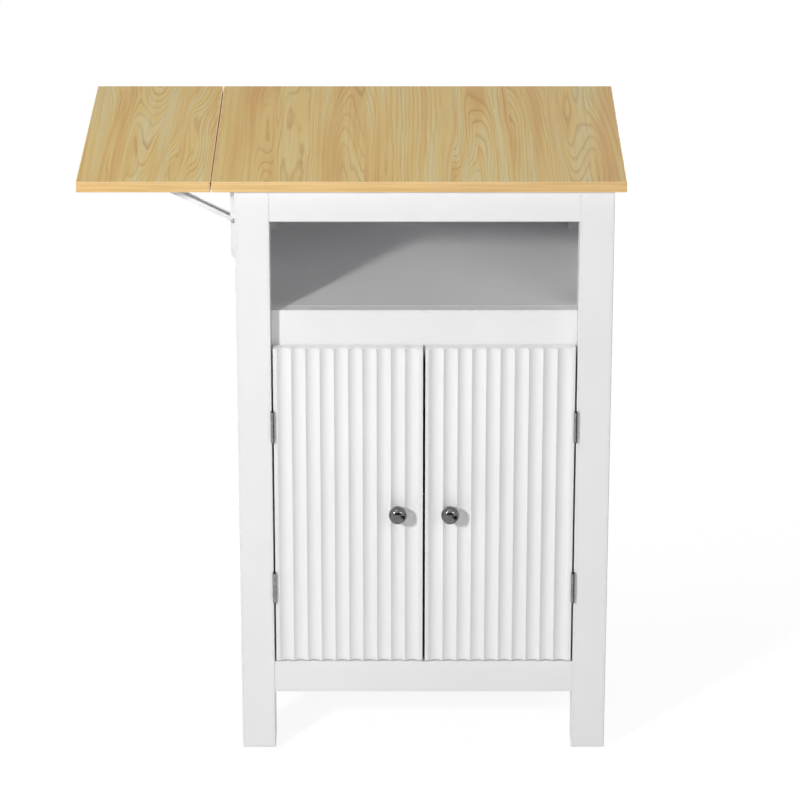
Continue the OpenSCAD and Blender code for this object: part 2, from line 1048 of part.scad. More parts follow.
module leaf_arm_side() {
    difference() {
        union() {
            polygon([
                [0, -end_r],
                [arm_len, -end_r],
                [arm_len, arm_drop],
                [web_u, arm_drop],
                [web_u - web_slope, end_r],
                [0, end_r]
            ]);
            circle(end_r, $fn = 48);
        }
        circle(rivet_r + run_gap, $fn = 32);
        slot(slide_rest - slot_gap, slide_end + slot_gap, rivet_r + slot_gap);
        notch_r = rivet_r + notch_gap;
        translate([strut_drop, 0])
            circle(notch_r, $fn = 32);
        translate([strut_drop - notch_r, -end_r - over])
            square([2 * notch_r, end_r + over]);
        translate([latch_u, latch_v])
            circle(latch_pin_r + fit_gap, $fn = 24);
    }
}

// A round ended slot from u0 to u1 along x
module slot(u0, u1, r) {
    translate([u0, -r])
        square([u1 - u0, 2 * r]);
    for (u = [u0, u1])
        translate([u, 0])
            circle(r, $fn = 32);
}

module leaf_arm(y) {
    color(paint)
        difference() {
            at_arm(y) {
                for (s = [-1, 1])
                    side_plate(s * (arm_inside + sheet_t) / 2, sheet_t)
                        leaf_arm_side();
                block([web_u, -arm_out / 2, arm_drop - sheet_t], [arm_len, arm_out / 2, arm_drop]);
                for (u = arm_wing_us)
                    block(
                        [u - wing_len / 2, -arm_out / 2 - wing_w, arm_drop - sheet_t],
                        [u + wing_len / 2, arm_out / 2 + wing_w, arm_drop]
                    );
            }
            at_leaf_arm_screws()
                pan_hole(short_screw, over);
        }
}

module leaf_arm_front() {
    leaf_arm(bracket_ys[0]);
}

module leaf_arm_back() {
    leaf_arm(bracket_ys[1]);
}

// Holes for screws into the cabinet's side
module at_wall_arm_screws() {
    for (y = bracket_ys, drop = wall_wing_drops, s = [-1, 1])
        translate([side_x0 - sheet_t, y + s * (wall_out / 2 + wing_hole), pivot_z - drop])
            rotate([0, -90, 0])
                children();
}

module wall_arm_screws() {
    color(steel)
        at_wall_arm_screws()
            pan_screw(short_screw);
}

// The wall arm's flange, drawn with x out from the cabinet and y up from the pivot
module wall_arm_side() {
    difference() {
        union() {
            translate([-pivot_out, -wall_arm_len])
                square([sheet_t, wall_arm_len + arm_drop - seat_gap]);
            polygon([
                [-pivot_out, -wall_arm_len],
                [-pivot_out + sheet_t, -wall_arm_len],
                [wall_eye_r, pivot_out + wall_eye_r - wall_arm_len],
                [wall_eye_r, 0],
                [0, wall_eye_r],
                [-pivot_out, wall_eye_r]
            ]);
            circle(wall_eye_r, $fn = 48);
        }
        for (v = [0, -strut_drop])
            translate([0, v])
                circle(rivet_r + run_gap, $fn = 32);
    }
}

module wall_arm(y) {
    color(paint)
        difference() {
            at_arm(y) {
                for (s = [-1, 1])
                    side_plate(s * (wall_inside + sheet_t) / 2, sheet_t)
                        wall_arm_side();
                block(
                    [-pivot_out, -wall_out / 2, -wall_arm_len],
                    [-pivot_out + sheet_t, wall_out / 2, arm_drop - seat_gap]
                );
                for (drop = wall_wing_drops)
                    block(
                        [-pivot_out, -wall_out / 2 - wing_w, -drop - wing_len / 2],
                        [-pivot_out + sheet_t, wall_out / 2 + wing_w, -drop + wing_len / 2]
                    );
            }
            at_wall_arm_screws()
                pan_hole(short_screw, over);
        }
}

module wall_arm_front() {
    wall_arm(bracket_ys[0]);
}

module wall_arm_back() {
    wall_arm(bracket_ys[1]);
}

// The strut is a channel that opens towards the leaf arm
module strut_side() {
    difference() {
        union() {
            translate([0, -end_r])
                square([strut_len, 2 * end_r]);
            for (u = [0, strut_len])
                translate([u, 0])
                    circle(end_r, $fn = 48);
        }
        circle(rivet_r + run_gap, $fn = 32);
        translate([strut_len, 0])
            circle(rivet_r + run_gap, $fn = 32);
    }
}

module strut(y) {
    color(paint)
        at_strut(y) {
            for (s = [-1, 1])
                side_plate(s * (strut_out - strut_sheet_t) / 2, strut_sheet_t)
                    strut_side();
            block(
                [strut_web_inset, -strut_out / 2, -end_r],
                [strut_len - strut_web_inset, strut_out / 2, -end_r + strut_sheet_t]
            );
        }
}

module strut_front() {
    strut(bracket_ys[0]);
}

module strut_back() {
    strut(bracket_ys[1]);
}

module slide_pin(y) {
    color(steel)
        at_strut(y)
            rod_y([strut_len, 0, 0], rivet_r, strut_out / 2);
}

module slide_pin_front() {
    slide_pin(bracket_ys[0]);
}

module slide_pin_back() {
    slide_pin(bracket_ys[1]);
}

// A lever in the leaf arm. Its tooth hangs past the sliding pin, and pressing its
// end tab towards the leaf lifts the tooth clear.
module latch_lever(y) {
    color(dark_steel)
        at_arm(y)
            difference() {
                union() {
                    rod_y([latch_u, 0, latch_v], latch_eye_r, latch_half_w);
                    block(
                        [latch_u, -latch_half_w, latch_v - latch_t / 2],
                        [latch_tab_u + latch_t, latch_half_w, latch_v + latch_t / 2]
                    );
                    block(
                        [tooth_u, -latch_half_w, tooth_tip],
                        [tooth_u + latch_t, latch_half_w, latch_v]
                    );
                    block(
                        [latch_tab_u, -latch_half_w, -latch_tab_drop],
                        [latch_tab_u + latch_t, latch_half_w, latch_v]
                    );
                }
                rod_y([latch_u, 0, latch_v], latch_pin_r + run_gap, latch_half_w + over);
            }
}

module latch_lever_front() {
    latch_lever(bracket_ys[0]);
}

module latch_lever_back() {
    latch_lever(bracket_ys[1]);
}

module latch_pins() {
    color(steel)
        for (y = bracket_ys)
            at_arm(y)
                rod_y([latch_u, 0, latch_v], latch_pin_r, arm_out / 2);
}

module bracket_rivet() {
    rod_y([0, 0, 0], rivet_r, wall_out / 2 + rivet_head_h);
    for (s = [-1, 1])
        rod_y([0, s * (wall_out + rivet_head_h) / 2, 0], rivet_head_r, rivet_head_h / 2);
}

module arm_rivets() {
    color(steel)
        for (y = bracket_ys)
            at_arm(y)
                bracket_rivet();
}

module strut_rivets() {
    color(steel)
        for (y = bracket_ys)
            at_strut(y)
                bracket_rivet();
}

worktop();
worktop_edging();
drop_leaf();
leaf_edging();
leg_front_left();
leg_front_right();
leg_back_left();
leg_back_right();
foot_glides();
top_rail_front();
top_rail_back();
bottom_rail_front();
bottom_rail_back();
side_panel_left();
side_panel_right();
back_panel();
compartment_shelf();
middle_rail();
cupboard_floor();
loose_shelf();
shelf_pins();
dowels();
cam_bolts();
cam_locks();
top_angles();
top_angle_screws();
door_left();
door_right();
knob_left();
knob_right();
knob_screw_left();
knob_screw_right();
frame_hinge_leaves();
door_hinge_leaves_left();
door_hinge_leaves_right();
hinge_pins();
frame_hinge_screws();
door_screws_left();
door_screws_right();
catch_housings();
catch_magnets();
catch_screws();
strike_plate_left();
strike_plate_right();
wall_arm_front();
wall_arm_back();
leaf_arm_front();
leaf_arm_back();
strut_front();
strut_back();
slide_pin_front();
slide_pin_back();
latch_lever_front();
latch_lever_back();
latch_pins();
arm_rivets();
strut_rivets();
wall_arm_screws();
leaf_arm_screws();
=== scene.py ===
# Looks of the drop leaf kitchen island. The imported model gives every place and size, in metres,
# with X along the worktop, Y from front to back and Z up. New pieces are surfaces worked out on
# numpy grids. Boards with bores, brackets, hinge leaves and catches are merged copies of their
# solids with eased edges.
import json
import math

import bmesh
import bpy
import numpy as np
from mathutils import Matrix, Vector

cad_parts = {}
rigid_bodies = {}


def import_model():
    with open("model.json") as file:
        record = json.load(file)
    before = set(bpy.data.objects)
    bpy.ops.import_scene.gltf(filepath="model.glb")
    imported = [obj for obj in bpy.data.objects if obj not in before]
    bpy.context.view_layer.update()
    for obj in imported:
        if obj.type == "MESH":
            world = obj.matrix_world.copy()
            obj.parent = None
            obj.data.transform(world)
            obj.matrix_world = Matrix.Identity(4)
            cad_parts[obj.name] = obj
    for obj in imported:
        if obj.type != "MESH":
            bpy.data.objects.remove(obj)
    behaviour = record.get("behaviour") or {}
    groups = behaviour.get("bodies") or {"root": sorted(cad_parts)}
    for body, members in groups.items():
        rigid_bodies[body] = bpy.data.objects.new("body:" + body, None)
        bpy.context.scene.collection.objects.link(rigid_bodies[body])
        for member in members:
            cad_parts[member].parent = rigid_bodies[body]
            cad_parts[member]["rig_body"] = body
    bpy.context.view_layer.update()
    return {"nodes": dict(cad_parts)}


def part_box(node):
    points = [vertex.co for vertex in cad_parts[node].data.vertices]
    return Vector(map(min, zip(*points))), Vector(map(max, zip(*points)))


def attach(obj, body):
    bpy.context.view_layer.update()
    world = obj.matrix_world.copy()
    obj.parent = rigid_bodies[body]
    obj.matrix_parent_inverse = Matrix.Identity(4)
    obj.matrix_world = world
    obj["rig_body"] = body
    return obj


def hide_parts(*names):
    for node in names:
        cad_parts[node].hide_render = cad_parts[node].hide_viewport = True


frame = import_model()
nodes = frame["nodes"]
mm = 0.001
weldStep = 0.002 * mm  # points nearer than this are one
print("frame loaded:", len(nodes), "nodes")

# Camera: from straight ahead and above, far off, so that uprights stay nearly parallel
cameraSettings = {
    "lens": 180,
    "sensor": 36,
    "place": (0.0695, -5.6576, 2.7509),
    "downDegrees": 21.8,
}
camera = bpy.data.objects.new("camera", bpy.data.cameras.new("camera"))
bpy.context.scene.collection.objects.link(camera)
camera.data.lens = cameraSettings["lens"]
camera.data.sensor_width = cameraSettings["sensor"]
camera.location = cameraSettings["place"]
camera.rotation_euler = (math.radians(90 - cameraSettings["downDegrees"]), 0, 0)
bpy.context.scene.camera = camera
bpy.context.scene.view_settings.view_transform = "Standard"

# Lamps: each stands at an azimuth (0 is straight ahead, minus is to the left) and a height,
# in degrees, at a distance in metres from the middle of the cabinet, and points at it
lamps = {
    "keyLamp": {"azimuth": -34, "elevation": 23, "distance": 4.0, "size": 0.34, "watts": 85},
    "fillLamp": {"azimuth": 27, "elevation": 22, "distance": 4.4, "size": 1.5, "watts": 28},
    "topLamp": {"azimuth": -80, "elevation": 72, "distance": 2.6, "size": 1.4, "watts": 19},
    "backLamp": {"azimuth": 152, "elevation": 14, "distance": 4.2, "size": 1.8, "watts": 68},
}
lampTarget = Vector((0.10, 0.0, 0.50))


def addLamp(name, settings):
    azimuth = math.radians(settings["azimuth"])
    elevation = math.radians(settings["elevation"])
    back = Vector((
        math.sin(azimuth) * math.cos(elevation),
        -math.cos(azimuth) * math.cos(elevation),
        math.sin(elevation),
    ))
    lamp = bpy.data.objects.new(name, bpy.data.lights.new(name, "AREA"))
    bpy.context.scene.collection.objects.link(lamp)
    lamp.data.shape = "DISK"
    lamp.data.size = settings["size"]
    lamp.data.energy = settings["watts"]
    lamp.location = lampTarget + back * settings["distance"]
    lamp.rotation_mode = "QUATERNION"
    lamp.rotation_quaternion = (-back).to_track_quat("-Z", "Y")


for lampName, lampSettings in lamps.items():
    addLamp(lampName, lampSettings)
print("camera and lamps placed")


# Materials

def linearColour(code, alpha=1.0):
    # sRGB hex to linear light: a power of 2.4 with the standard's straight foot
    parts = np.array([int(code[i:i + 2], 16) for i in (1, 3, 5)]) / 255
    parts = np.where(parts <= 0.04045, parts / 12.92, ((parts + 0.055) / 1.055) ** 2.4)
    return (*parts.tolist(), alpha)


def addNode(tree, kind, inputs=None, size=None, shift=0.0, spread=None, ramp=None, **settings):
    # One node with its settings and links. An input that is a node or a socket is linked, and a
    # text that starts with # is a colour. A texture with a size in metres along each axis gets
    # its Vector, or else Object coordinates, through a mapping. Spread is what a map range goes
    # from and to.
    inputs = dict(inputs or {})
    if spread:
        inputs.update(zip(("From Min", "From Max", "To Min", "To Max"), spread))
    if size:
        if "Vector" not in inputs:
            inputs["Vector"] = addNode(tree, "ShaderNodeTexCoord").outputs["Object"]
        inputs["Vector"] = addNode(tree, "ShaderNodeMapping", {
            "Vector": inputs["Vector"], "Location": (shift,) * 3,
            "Scale": tuple(1 / side for side in size)})
        inputs["Scale"] = 1.0
    node = tree.nodes.new(kind)
    for key, value in settings.items():
        setattr(node, key, value)
    for key, value in inputs.items():
        if isinstance(value, bpy.types.Node):
            value = next(socket for socket in value.outputs if socket.enabled)
        if isinstance(value, bpy.types.NodeSocket):
            tree.links.new(value, node.inputs[key])
        elif isinstance(value, str):
            node.inputs[key].default_value = linearColour(value)
        else:
            node.inputs[key].default_value = value
    if ramp:
        stops = node.color_ramp.elements
        while len(stops) < len(ramp):
            stops.new(1.0)
        for stop, (position, colour) in zip(stops, ramp):
            stop.position = position
            stop.color = linearColour(colour)
    return node


def newTree(name):
    material = bpy.data.materials.new(name)
    material.use_nodes = True
    material.node_tree.nodes.clear()
    return material, material.node_tree


# A noise's values nearly all lie in the first span, and most of them in the second
noiseSpan = (0.3, 0.7)
noiseCore = (0.35, 0.65)


def finishSurface(tree, look, colour, rough, height, strength=0.5, **sockets):
    # the end that every finish shares: its relief, the surface and the output
    bump = addNode(
        tree, "ShaderNodeBump",
        {"Height": height, "Distance": look["relief"], "Strength": strength})
    shader = addNode(
        tree, "ShaderNodeBsdfPrincipled",
        {"Base Color": colour, "Roughness": rough, "Normal": bump, **sockets})
    addNode(tree, "ShaderNodeOutputMaterial", {"Surface": shader})


# Backdrop and floor: white to the camera and in reflections. Round the object the floor keeps
# a soft share of the shadow that falls on it, and it fades to plain white further off.
studio = {
    "skyLight": 0.15,
    "floorHalf": 30.0,
    "floorColour": "#DEDEDE",
    "floorWhiteShare": 0.70,
    "floorWhite": 1.25,
    "fade": (1.8, 4.5),
}


def seenWhite(tree):
    # 1 for rays from the camera and for mirrored or transmitted ones
    path = addNode(tree, "ShaderNodeLightPath").outputs
    seen = addNode(
        tree, "ShaderNodeMath", {0: path["Is Camera Ray"], 1: path["Is Glossy Ray"]},
        operation="MAXIMUM")
    return addNode(
        tree, "ShaderNodeMath", {0: seen, 1: path["Is Transmission Ray"]}, operation="MAXIMUM")


def buildWorld():
    world = bpy.data.worlds.new("studioWorld")
    world.use_nodes = True
    bpy.context.scene.world = world
    tree = world.node_tree
    tree.nodes.clear()
    light = addNode(
        tree, "ShaderNodeBackground", {"Color": "#FFFFFF", "Strength": studio["skyLight"]})
    white = addNode(tree, "ShaderNodeBackground", {"Color": "#FFFFFF", "Strength": 1.0})
    both = addNode(tree, "ShaderNodeMixShader", {0: seenWhite(tree), 1: light, 2: white})
    addNode(tree, "ShaderNodeOutputWorld", {"Surface": both})


def flatCard(name, corners, material):
    # one face with the given corners, which belongs to the studio and not to the object
    mesh = bpy.data.meshes.new(name)
    mesh.from_pydata(corners, [], [(0, 1, 2, 3)])
    mesh.materials.append(material)
    card = bpy.data.objects.new(name, mesh)
    bpy.context.scene.collection.objects.link(card)
    return card


def buildFloor():
    material, tree = newTree("studioFloor")
    place = addNode(tree, "ShaderNodeTexCoord").outputs["Object"]
    away = addNode(
        tree, "ShaderNodeVectorMath", {0: place}, operation="LENGTH").outputs["Value"]
    glow = addNode(
        tree, "ShaderNodeMapRange", {"Value": away},
        spread=(*studio["fade"], studio["floorWhite"], 1.0))
    share = addNode(
        tree, "ShaderNodeMapRange", {"Value": away},
        spread=(*studio["fade"], studio["floorWhiteShare"], 1.0))
    share = addNode(
        tree, "ShaderNodeMath", {0: seenWhite(tree), 1: share}, operation="MULTIPLY")
    lit = addNode(tree, "ShaderNodeBsdfDiffuse", {"Color": studio["floorColour"]})
    white = addNode(tree, "ShaderNodeEmission", {"Color": "#FFFFFF", "Strength": glow})
    both = addNode(tree, "ShaderNodeMixShader", {0: share, 1: lit, 2: white})
    addNode(tree, "ShaderNodeOutputMaterial", {"Surface": both})
    half = studio["floorHalf"]
    corners = [(-half, -half, 0), (half, -half, 0), (half, half, 0), (-half, half, 0)]
    flatCard("studioFloor", corners, material)


# Dark flags round the front of the set give the plated metal something to mirror: corners of
# each card, in order round it. They cast no shadow, and the camera and soft light miss them.
flags = {
    "flagAhead": [
        (-1.95, -5.3, 0.05), (2.45, -5.5, 0.05), (2.45, -5.5, 1.75), (-1.95, -5.3, 1.75)],
    "flagBeside": [
        (0.45, -2.2, 0.01), (2.4, -2.2, 0.01), (2.4, -0.4, 0.01), (0.45, -0.4, 0.01)],
}
flagColour = "#1C1C1E"


def buildFlags():
    material, tree = newTree("flagCloth")
    dark = addNode(tree, "ShaderNodeBsdfDiffuse", {"Color": flagColour})
    addNode(tree, "ShaderNodeOutputMaterial", {"Surface": dark})
    for name, corners in flags.items():
        card = flatCard(name, corners, material)
        for ray in ("camera", "diffuse", "transmission", "volume_scatter", "shadow"):
            setattr(card, "visible_" + ray, False)


buildWorld()
buildFloor()
buildFlags()
print("studio built")


# Melamine faced particle board, its printed maple paper pressed under semi-matt resin. To the
# eye: fine growth lines along Y, straight in some bands of the print and arched in others, with
# orange and pale streaks, all flat under one soft even sheen.
mapleLook = {
    "base": "#D2B468",
    "orange": "#C28E38",
    "pale": "#CEBC82",
    "line": "#A07012",
    # a growth line rises slowly to its full tone and ends sharply: places along one year
    "profile": [(0.0, "#000000"), (0.52, "#141414"), (0.80, "#FFFFFF"), (0.93, "#000000")],
    # the share of the line's colour where it is strongest, and where it is faintest
    "lineShare": 0.66,
    "faintShare": 0.198,
    # growth lines in a metre, 6.7 mm apart where they run straight, and by how many lines the
    # arches (from weak to strong) and the ripples bend them
    "lines": 150,
    "bend": (4.0, 23.0),
    "ripple": 0.80,
    # steps of the tone's noise for each line: under one, so that neighbouring lines share a tone
    "yearTone": 0.42,
    "streakShare": 0.65,
    # the print's planks: their width, where one ends, and how far apart they lie in the noises
    "plank": 215 * mm,
    "plankEdge": 18 * mm,
    "plankDepth": 25 * mm,
    "plankTone": (0.975, 1.025),
    "poreTone": (0.97, 1.03),
    "relief": 0.04 * mm,
    "rough": (0.42, 0.52),
    "ior": 1.50,
}
# The print's soft noises: size across and along the grain, detail, distortion, and a shift that
# keeps each apart from the others. Real pores are about 0.1 mm wide. They are drawn as coarse as
# they need to be to show.
mapleNoises = {
    "zones": (95 * mm, 1400 * mm, 0.0, 0.0, 2.0),
    "arches": (56 * mm, 580 * mm, 1.0, 0.15, 3.0),
    "ripples": (18 * mm, 100 * mm, 1.5, 0.0, 1.0),
    "faintness": (50 * mm, 160 * mm, 1.0, 0.0, 6.0),
    "streaks": (36 * mm, 800 * mm, 2.0, 0.2, 5.0),
    "fine": (3.2 * mm, 200 * mm, 2.0, 0.0, 8.0),
    "pores": (1.1 * mm, 28 * mm, 2.0, 0.0, 0.0),
}


def buildMaple():
    material, tree = newTree("printedMaple")
    place = addNode(tree, "ShaderNodeTexCoord").outputs["Object"]
    parts = addNode(tree, "ShaderNodeSeparateXYZ", {0: place}).outputs
    # the planks of the print: each has its own chance number, which shifts every noise in it
    plank = addNode(
        tree, "ShaderNodeMath", {0: parts["X"], 1: mapleLook["plankEdge"]}, operation="SUBTRACT")
    plank = addNode(tree, "ShaderNodeMath", {0: plank, 1: mapleLook["plank"]}, operation="DIVIDE")
    plank = addNode(tree, "ShaderNodeMath", {0: plank}, operation="FLOOR")
    chance = addNode(
        tree, "ShaderNodeTexWhiteNoise", {"W": plank}, noise_dimensions="1D").outputs["Value"]
    shifted = addNode(tree, "ShaderNodeCombineXYZ", {"X": parts["X"], "Y": parts["Y"], "Z": chance})
    noises = {}
    for name, (across, along, detail, distortion, shift) in mapleNoises.items():
        noises[name] = addNode(
            tree, "ShaderNodeTexNoise",
            {"Vector": shifted, "Detail": detail, "Distortion": distortion},
            size=(across, along, mapleLook["plankDepth"]), shift=shift).outputs[0]
    # growth lines are the contours of a steady rise across the board, bent by a slow noise drawn
    # out along Y and by a small ripple. Where the bend is weak they run straight, and where it
    # is strong they close into arches, as on plain sawn boards.
    bend = addNode(
        tree, "ShaderNodeMapRange", {"Value": noises["zones"]},
        spread=(0.40, 0.60, *mapleLook["bend"]))
    ring = addNode(
        tree, "ShaderNodeMath", {0: parts["X"], 1: mapleLook["lines"]}, operation="MULTIPLY")
    ring = addNode(
        tree, "ShaderNodeMath", {0: noises["arches"], 1: bend, 2: ring}, operation="MULTIPLY_ADD")
    ring = addNode(
        tree, "ShaderNodeMath", {0: noises["ripples"], 1: mapleLook["ripple"], 2: ring},
        operation="MULTIPLY_ADD")
    line = addNode(tree, "ShaderNodeMath", {0: ring}, operation="FRACT")
    line = addNode(tree, "ShaderNodeValToRGB", {0: line}, ramp=mapleLook["profile"])
    faintness = addNode(
        tree, "ShaderNodeMapRange", {"Value": noises["faintness"]},
        spread=(0.32, 0.68, mapleLook["faintShare"], mapleLook["lineShare"]))
    line = addNode(tree, "ShaderNodeMath", {0: line, 1: faintness}, operation="MULTIPLY")
    # each few years' growth has its own tone, so that orange and pale bands follow the lines,
    # with long straight streaks over them, finer ones among them, and pores. Each tint comes in
    # over a span of its noise, up to its share.
    years = addNode(
        tree, "ShaderNodeMath", {0: ring, 1: mapleLook["yearTone"]}, operation="MULTIPLY")
    growth = addNode(
        tree, "ShaderNodeTexNoise", {"W": years, "Scale": 1.0, "Detail": 2.0},
        noise_dimensions="1D").outputs[0]
    streak = addNode(tree, "ShaderNodeMix", {
        0: mapleLook["streakShare"], 2: growth, 3: noises["streaks"]})
    colour = mapleLook["base"]
    for source, spread, tint in (
        (streak, (0.50, 0.40, 0.0, 1.0), "pale"),
        (streak, (0.50, 0.66, 0.0, 0.75), "orange"),
        (noises["fine"], (0.50, 0.72, 0.0, 0.42), "orange"),
    ):
        share = addNode(tree, "ShaderNodeMapRange", {"Value": source}, spread=spread)
        colour = addNode(
            tree, "ShaderNodeMix", {0: share, 6: colour, 7: mapleLook[tint]}, data_type="RGBA")
    colour = addNode(
        tree, "ShaderNodeMix", {0: line, 6: colour, 7: mapleLook["line"]}, data_type="RGBA")
    plankTone = addNode(
        tree, "ShaderNodeMapRange", {"Value": chance}, spread=(0, 1, *mapleLook["plankTone"]))
    poreTone = addNode(
        tree, "ShaderNodeMapRange", {"Value": noises["pores"]},
        spread=(*noiseSpan, *mapleLook["poreTone"]))
    tone = addNode(tree, "ShaderNodeMath", {0: plankTone, 1: poreTone}, operation="MULTIPLY")
    colour = addNode(tree, "ShaderNodeVectorMath", {0: colour, "Scale": tone}, operation="SCALE")
    rough = addNode(
        tree, "ShaderNodeMapRange", {"Value": noises["pores"]},
        spread=(*noiseSpan, *mapleLook["rough"]))
    finishSurface(tree, mapleLook, colour, rough, noises["pores"], IOR=mapleLook["ior"])
    return material


# ABS edging, extruded, printed and lacquered. To the eye: straight fine lines along the strip, a
# warmer tone than the face, and a soft shine where its corners are scraped round.
edgingLook = {
    "base": "#EDC88A",
    "dark": "#D9AC68",
    "wear": "#F4DCB0",
    "bands": (160 * mm, 160 * mm, 2.6 * mm),
    "fibres": (30 * mm, 30 * mm, 0.6 * mm),
    "clouds": (120 * mm, 120 * mm, 50 * mm),
    # over which span of their noise the dark bands come in, and up to what share
    "banding": (0.35, 0.70, 0.0, 0.8),
    "tone": (0.96, 1.03),
    "relief": 0.03 * mm,
    # where it is scraped: the share of the worn colour, and the roughness from face to scrape
    "wearShare": 0.35,
    "rough": (0.42, 0.26),
    "ior": 1.53,
}


def buildEdging():
    material, tree = newTree("printedEdging")
    bands = addNode(tree, "ShaderNodeTexNoise", {"Detail": 2.0}, size=edgingLook["bands"])
    fibres = addNode(tree, "ShaderNodeTexNoise", {"Detail": 1.0}, size=edgingLook["fibres"])
    clouds = addNode(tree, "ShaderNodeTexNoise", {"Detail": 1.0}, size=edgingLook["clouds"])
    banded = addNode(
        tree, "ShaderNodeMapRange", {"Value": bands}, spread=edgingLook["banding"])
    colour = addNode(
        tree, "ShaderNodeMix", {0: banded, 6: edgingLook["base"], 7: edgingLook["dark"]},
        data_type="RGBA")
    for source in (fibres, clouds):
        tone = addNode(
            tree, "ShaderNodeMapRange", {"Value": source},
            spread=(*noiseSpan, *edgingLook["tone"]))
        colour = addNode(
            tree, "ShaderNodeVectorMath", {0: colour, "Scale": tone}, operation="SCALE")
    wear = addNode(tree, "ShaderNodeAttribute", attribute_name="wear").outputs["Fac"]
    wear = addNode(
        tree, "ShaderNodeMath", {0: wear, 1: edgingLook["wearShare"]}, operation="MULTIPLY")
    colour = addNode(
        tree, "ShaderNodeMix", {0: wear, 6: colour, 7: edgingLook["wear"]}, data_type="RGBA")
    rough = addNode(
        tree, "ShaderNodeMapRange", {"Value": wear}, spread=(0, 1, *edgingLook["rough"]))
    finishSurface(tree, edgingLook, colour, rough, fibres, IOR=edgingLook["ior"])
    return material


# Painted, moulded and ground finishes: a flat colour with slow clouding, the fine peel or grain
# that the making leaves, and a worn tone where an edge has been rubbed
paintLooks = {
    # polyurethane lacquer sprayed on fibreboard: an even satin white with a faint peel
    "whiteLacquer": {
        "colour": "#F4F4F5", "cloud": "#F1F1F2", "worn": "#E4E3E0",
        "peel": 1.6 * mm, "relief": 0.035 * mm, "rough": (0.34, 0.44), "ior": 1.50},
    # polyester powder baked on steel: a slightly greyer white with a deeper peel
    "whitePowderCoat": {
        "colour": "#F0F0F1", "cloud": "#EBEBEC", "worn": "#DBDAD8",
        "peel": 0.9 * mm, "relief": 0.05 * mm, "rough": (0.38, 0.50), "ior": 1.52},
    # polypropylene, injection moulded in a lightly sparked tool: dull, warm and finely grained
    "mouldedPlastic": {
        "colour": "#E4E4DF", "cloud": "#DEDED8", "worn": "#EDEDEA",
        "peel": 0.5 * mm, "relief": 0.03 * mm, "rough": (0.42, 0.55), "ior": 1.49},
    # sintered ferrite, ground flat and left bare: nearly black, dry and matt
    "groundFerrite": {
        "colour": "#3A3938", "cloud": "#2F2E2E", "worn": "#55534F",
        "peel": 0.4 * mm, "relief": 0.04 * mm, "rough": (0.55, 0.75), "ior": 1.60},
}
paintPatterns = {
    "clouds": (140 * mm, 140 * mm, 200 * mm),
    "scuffs": (11 * mm,) * 3,
    # over which span of the scuffs the wear comes in, and from what share to what share
    "rubbing": (0.40, 0.72, 0.12, 0.9),
    "peelStrength": 0.35,
}


def buildPaint(name, look):
    material, tree = newTree(name)
    clouds = addNode(tree, "ShaderNodeTexNoise", {"Detail": 3.0}, size=paintPatterns["clouds"])
    peel = addNode(tree, "ShaderNodeTexNoise", {"Detail": 2.0}, size=(look["peel"],) * 3)
    scuffs = addNode(
        tree, "ShaderNodeTexNoise", {"Detail": 4.0, "Roughness": 0.65},
        size=paintPatterns["scuffs"])
    clouded = addNode(
        tree, "ShaderNodeMapRange", {"Value": clouds}, spread=(*noiseCore, 0, 1))
    colour = addNode(
        tree, "ShaderNodeMix", {0: clouded, 6: look["colour"], 7: look["cloud"]},
        data_type="RGBA")
    wear = addNode(tree, "ShaderNodeAttribute", attribute_name="wear").outputs["Fac"]
    rubbed = addNode(
        tree, "ShaderNodeMapRange", {"Value": scuffs}, spread=paintPatterns["rubbing"])
    rubbed = addNode(tree, "ShaderNodeMath", {0: wear, 1: rubbed}, operation="MULTIPLY")
    colour = addNode(
        tree, "ShaderNodeMix", {0: rubbed, 6: colour, 7: look["worn"]}, data_type="RGBA")
    rough = addNode(
        tree, "ShaderNodeMapRange", {"Value": scuffs}, spread=(*noiseSpan, *look["rough"]))
    finishSurface(
        tree, look, colour, rough, peel, strength=paintPatterns["peelStrength"],
        IOR=look["ior"])
    return material


# Metals: a colour that shifts in patches, and fine lines left by the tool, with duller spots.
# Real tool lines are a few hundredths of a millimetre wide. They are drawn as coarse as they
# need to be to show.
metalLooks = {
    # brass, turned, polished and plated in satin nickel, its colour set far below nickel's as a
    # painted dark reflection: dark grey, blurred a little by lines that run round the turning
    "satinNickel": {
        "colour": "#757371", "patch": "#686664", "grain": (4 * mm, 0.25 * mm, 4 * mm),
        "relief": 0.006 * mm, "rough": (0.12, 0.20)},
    # strip steel, rolled round its pin and nickel plated: mid grey, streaked up the roll
    "rolledHingeSteel": {
        "colour": "#98989A", "patch": "#828284", "grain": (0.3 * mm, 0.3 * mm, 6 * mm),
        "relief": 0.01 * mm, "rough": (0.20, 0.32)},
    # the hinge pins' steel, drawn nearly black, darker than the leaves, with a low shine
    "blackenedSteel": {
        "colour": "#2C2C2E", "patch": "#232325", "grain": (0.4 * mm,) * 3,
        "relief": 0.01 * mm, "rough": (0.35, 0.50)},
    # cold headed steel, bright zinc plated: light, faintly blue and spangled
    "brightZinc": {
        "colour": "#B4B7BC", "patch": "#9EA3AA", "grain": (0.9 * mm,) * 3,
        "relief": 0.01 * mm, "rough": (0.24, 0.40)},
    # hardened spring strip, blackened in oil: dark grey, with a sheen along the strip
    "oiledSpringSteel": {
        "colour": "#55565A", "patch": "#45464A", "grain": (4 * mm, 0.3 * mm, 0.3 * mm),
        "relief": 0.01 * mm, "rough": (0.30, 0.45)},
    # zinc alloy, pressure die-cast: an even mid grey, with the dull skin of the mould
    "dieCastZinc": {
        "colour": "#8D8E90", "patch": "#7A7B7E", "grain": (0.7 * mm,) * 3,
        "relief": 0.03 * mm, "rough": (0.42, 0.60)},
}
metalPatch = (6 * mm,) * 3


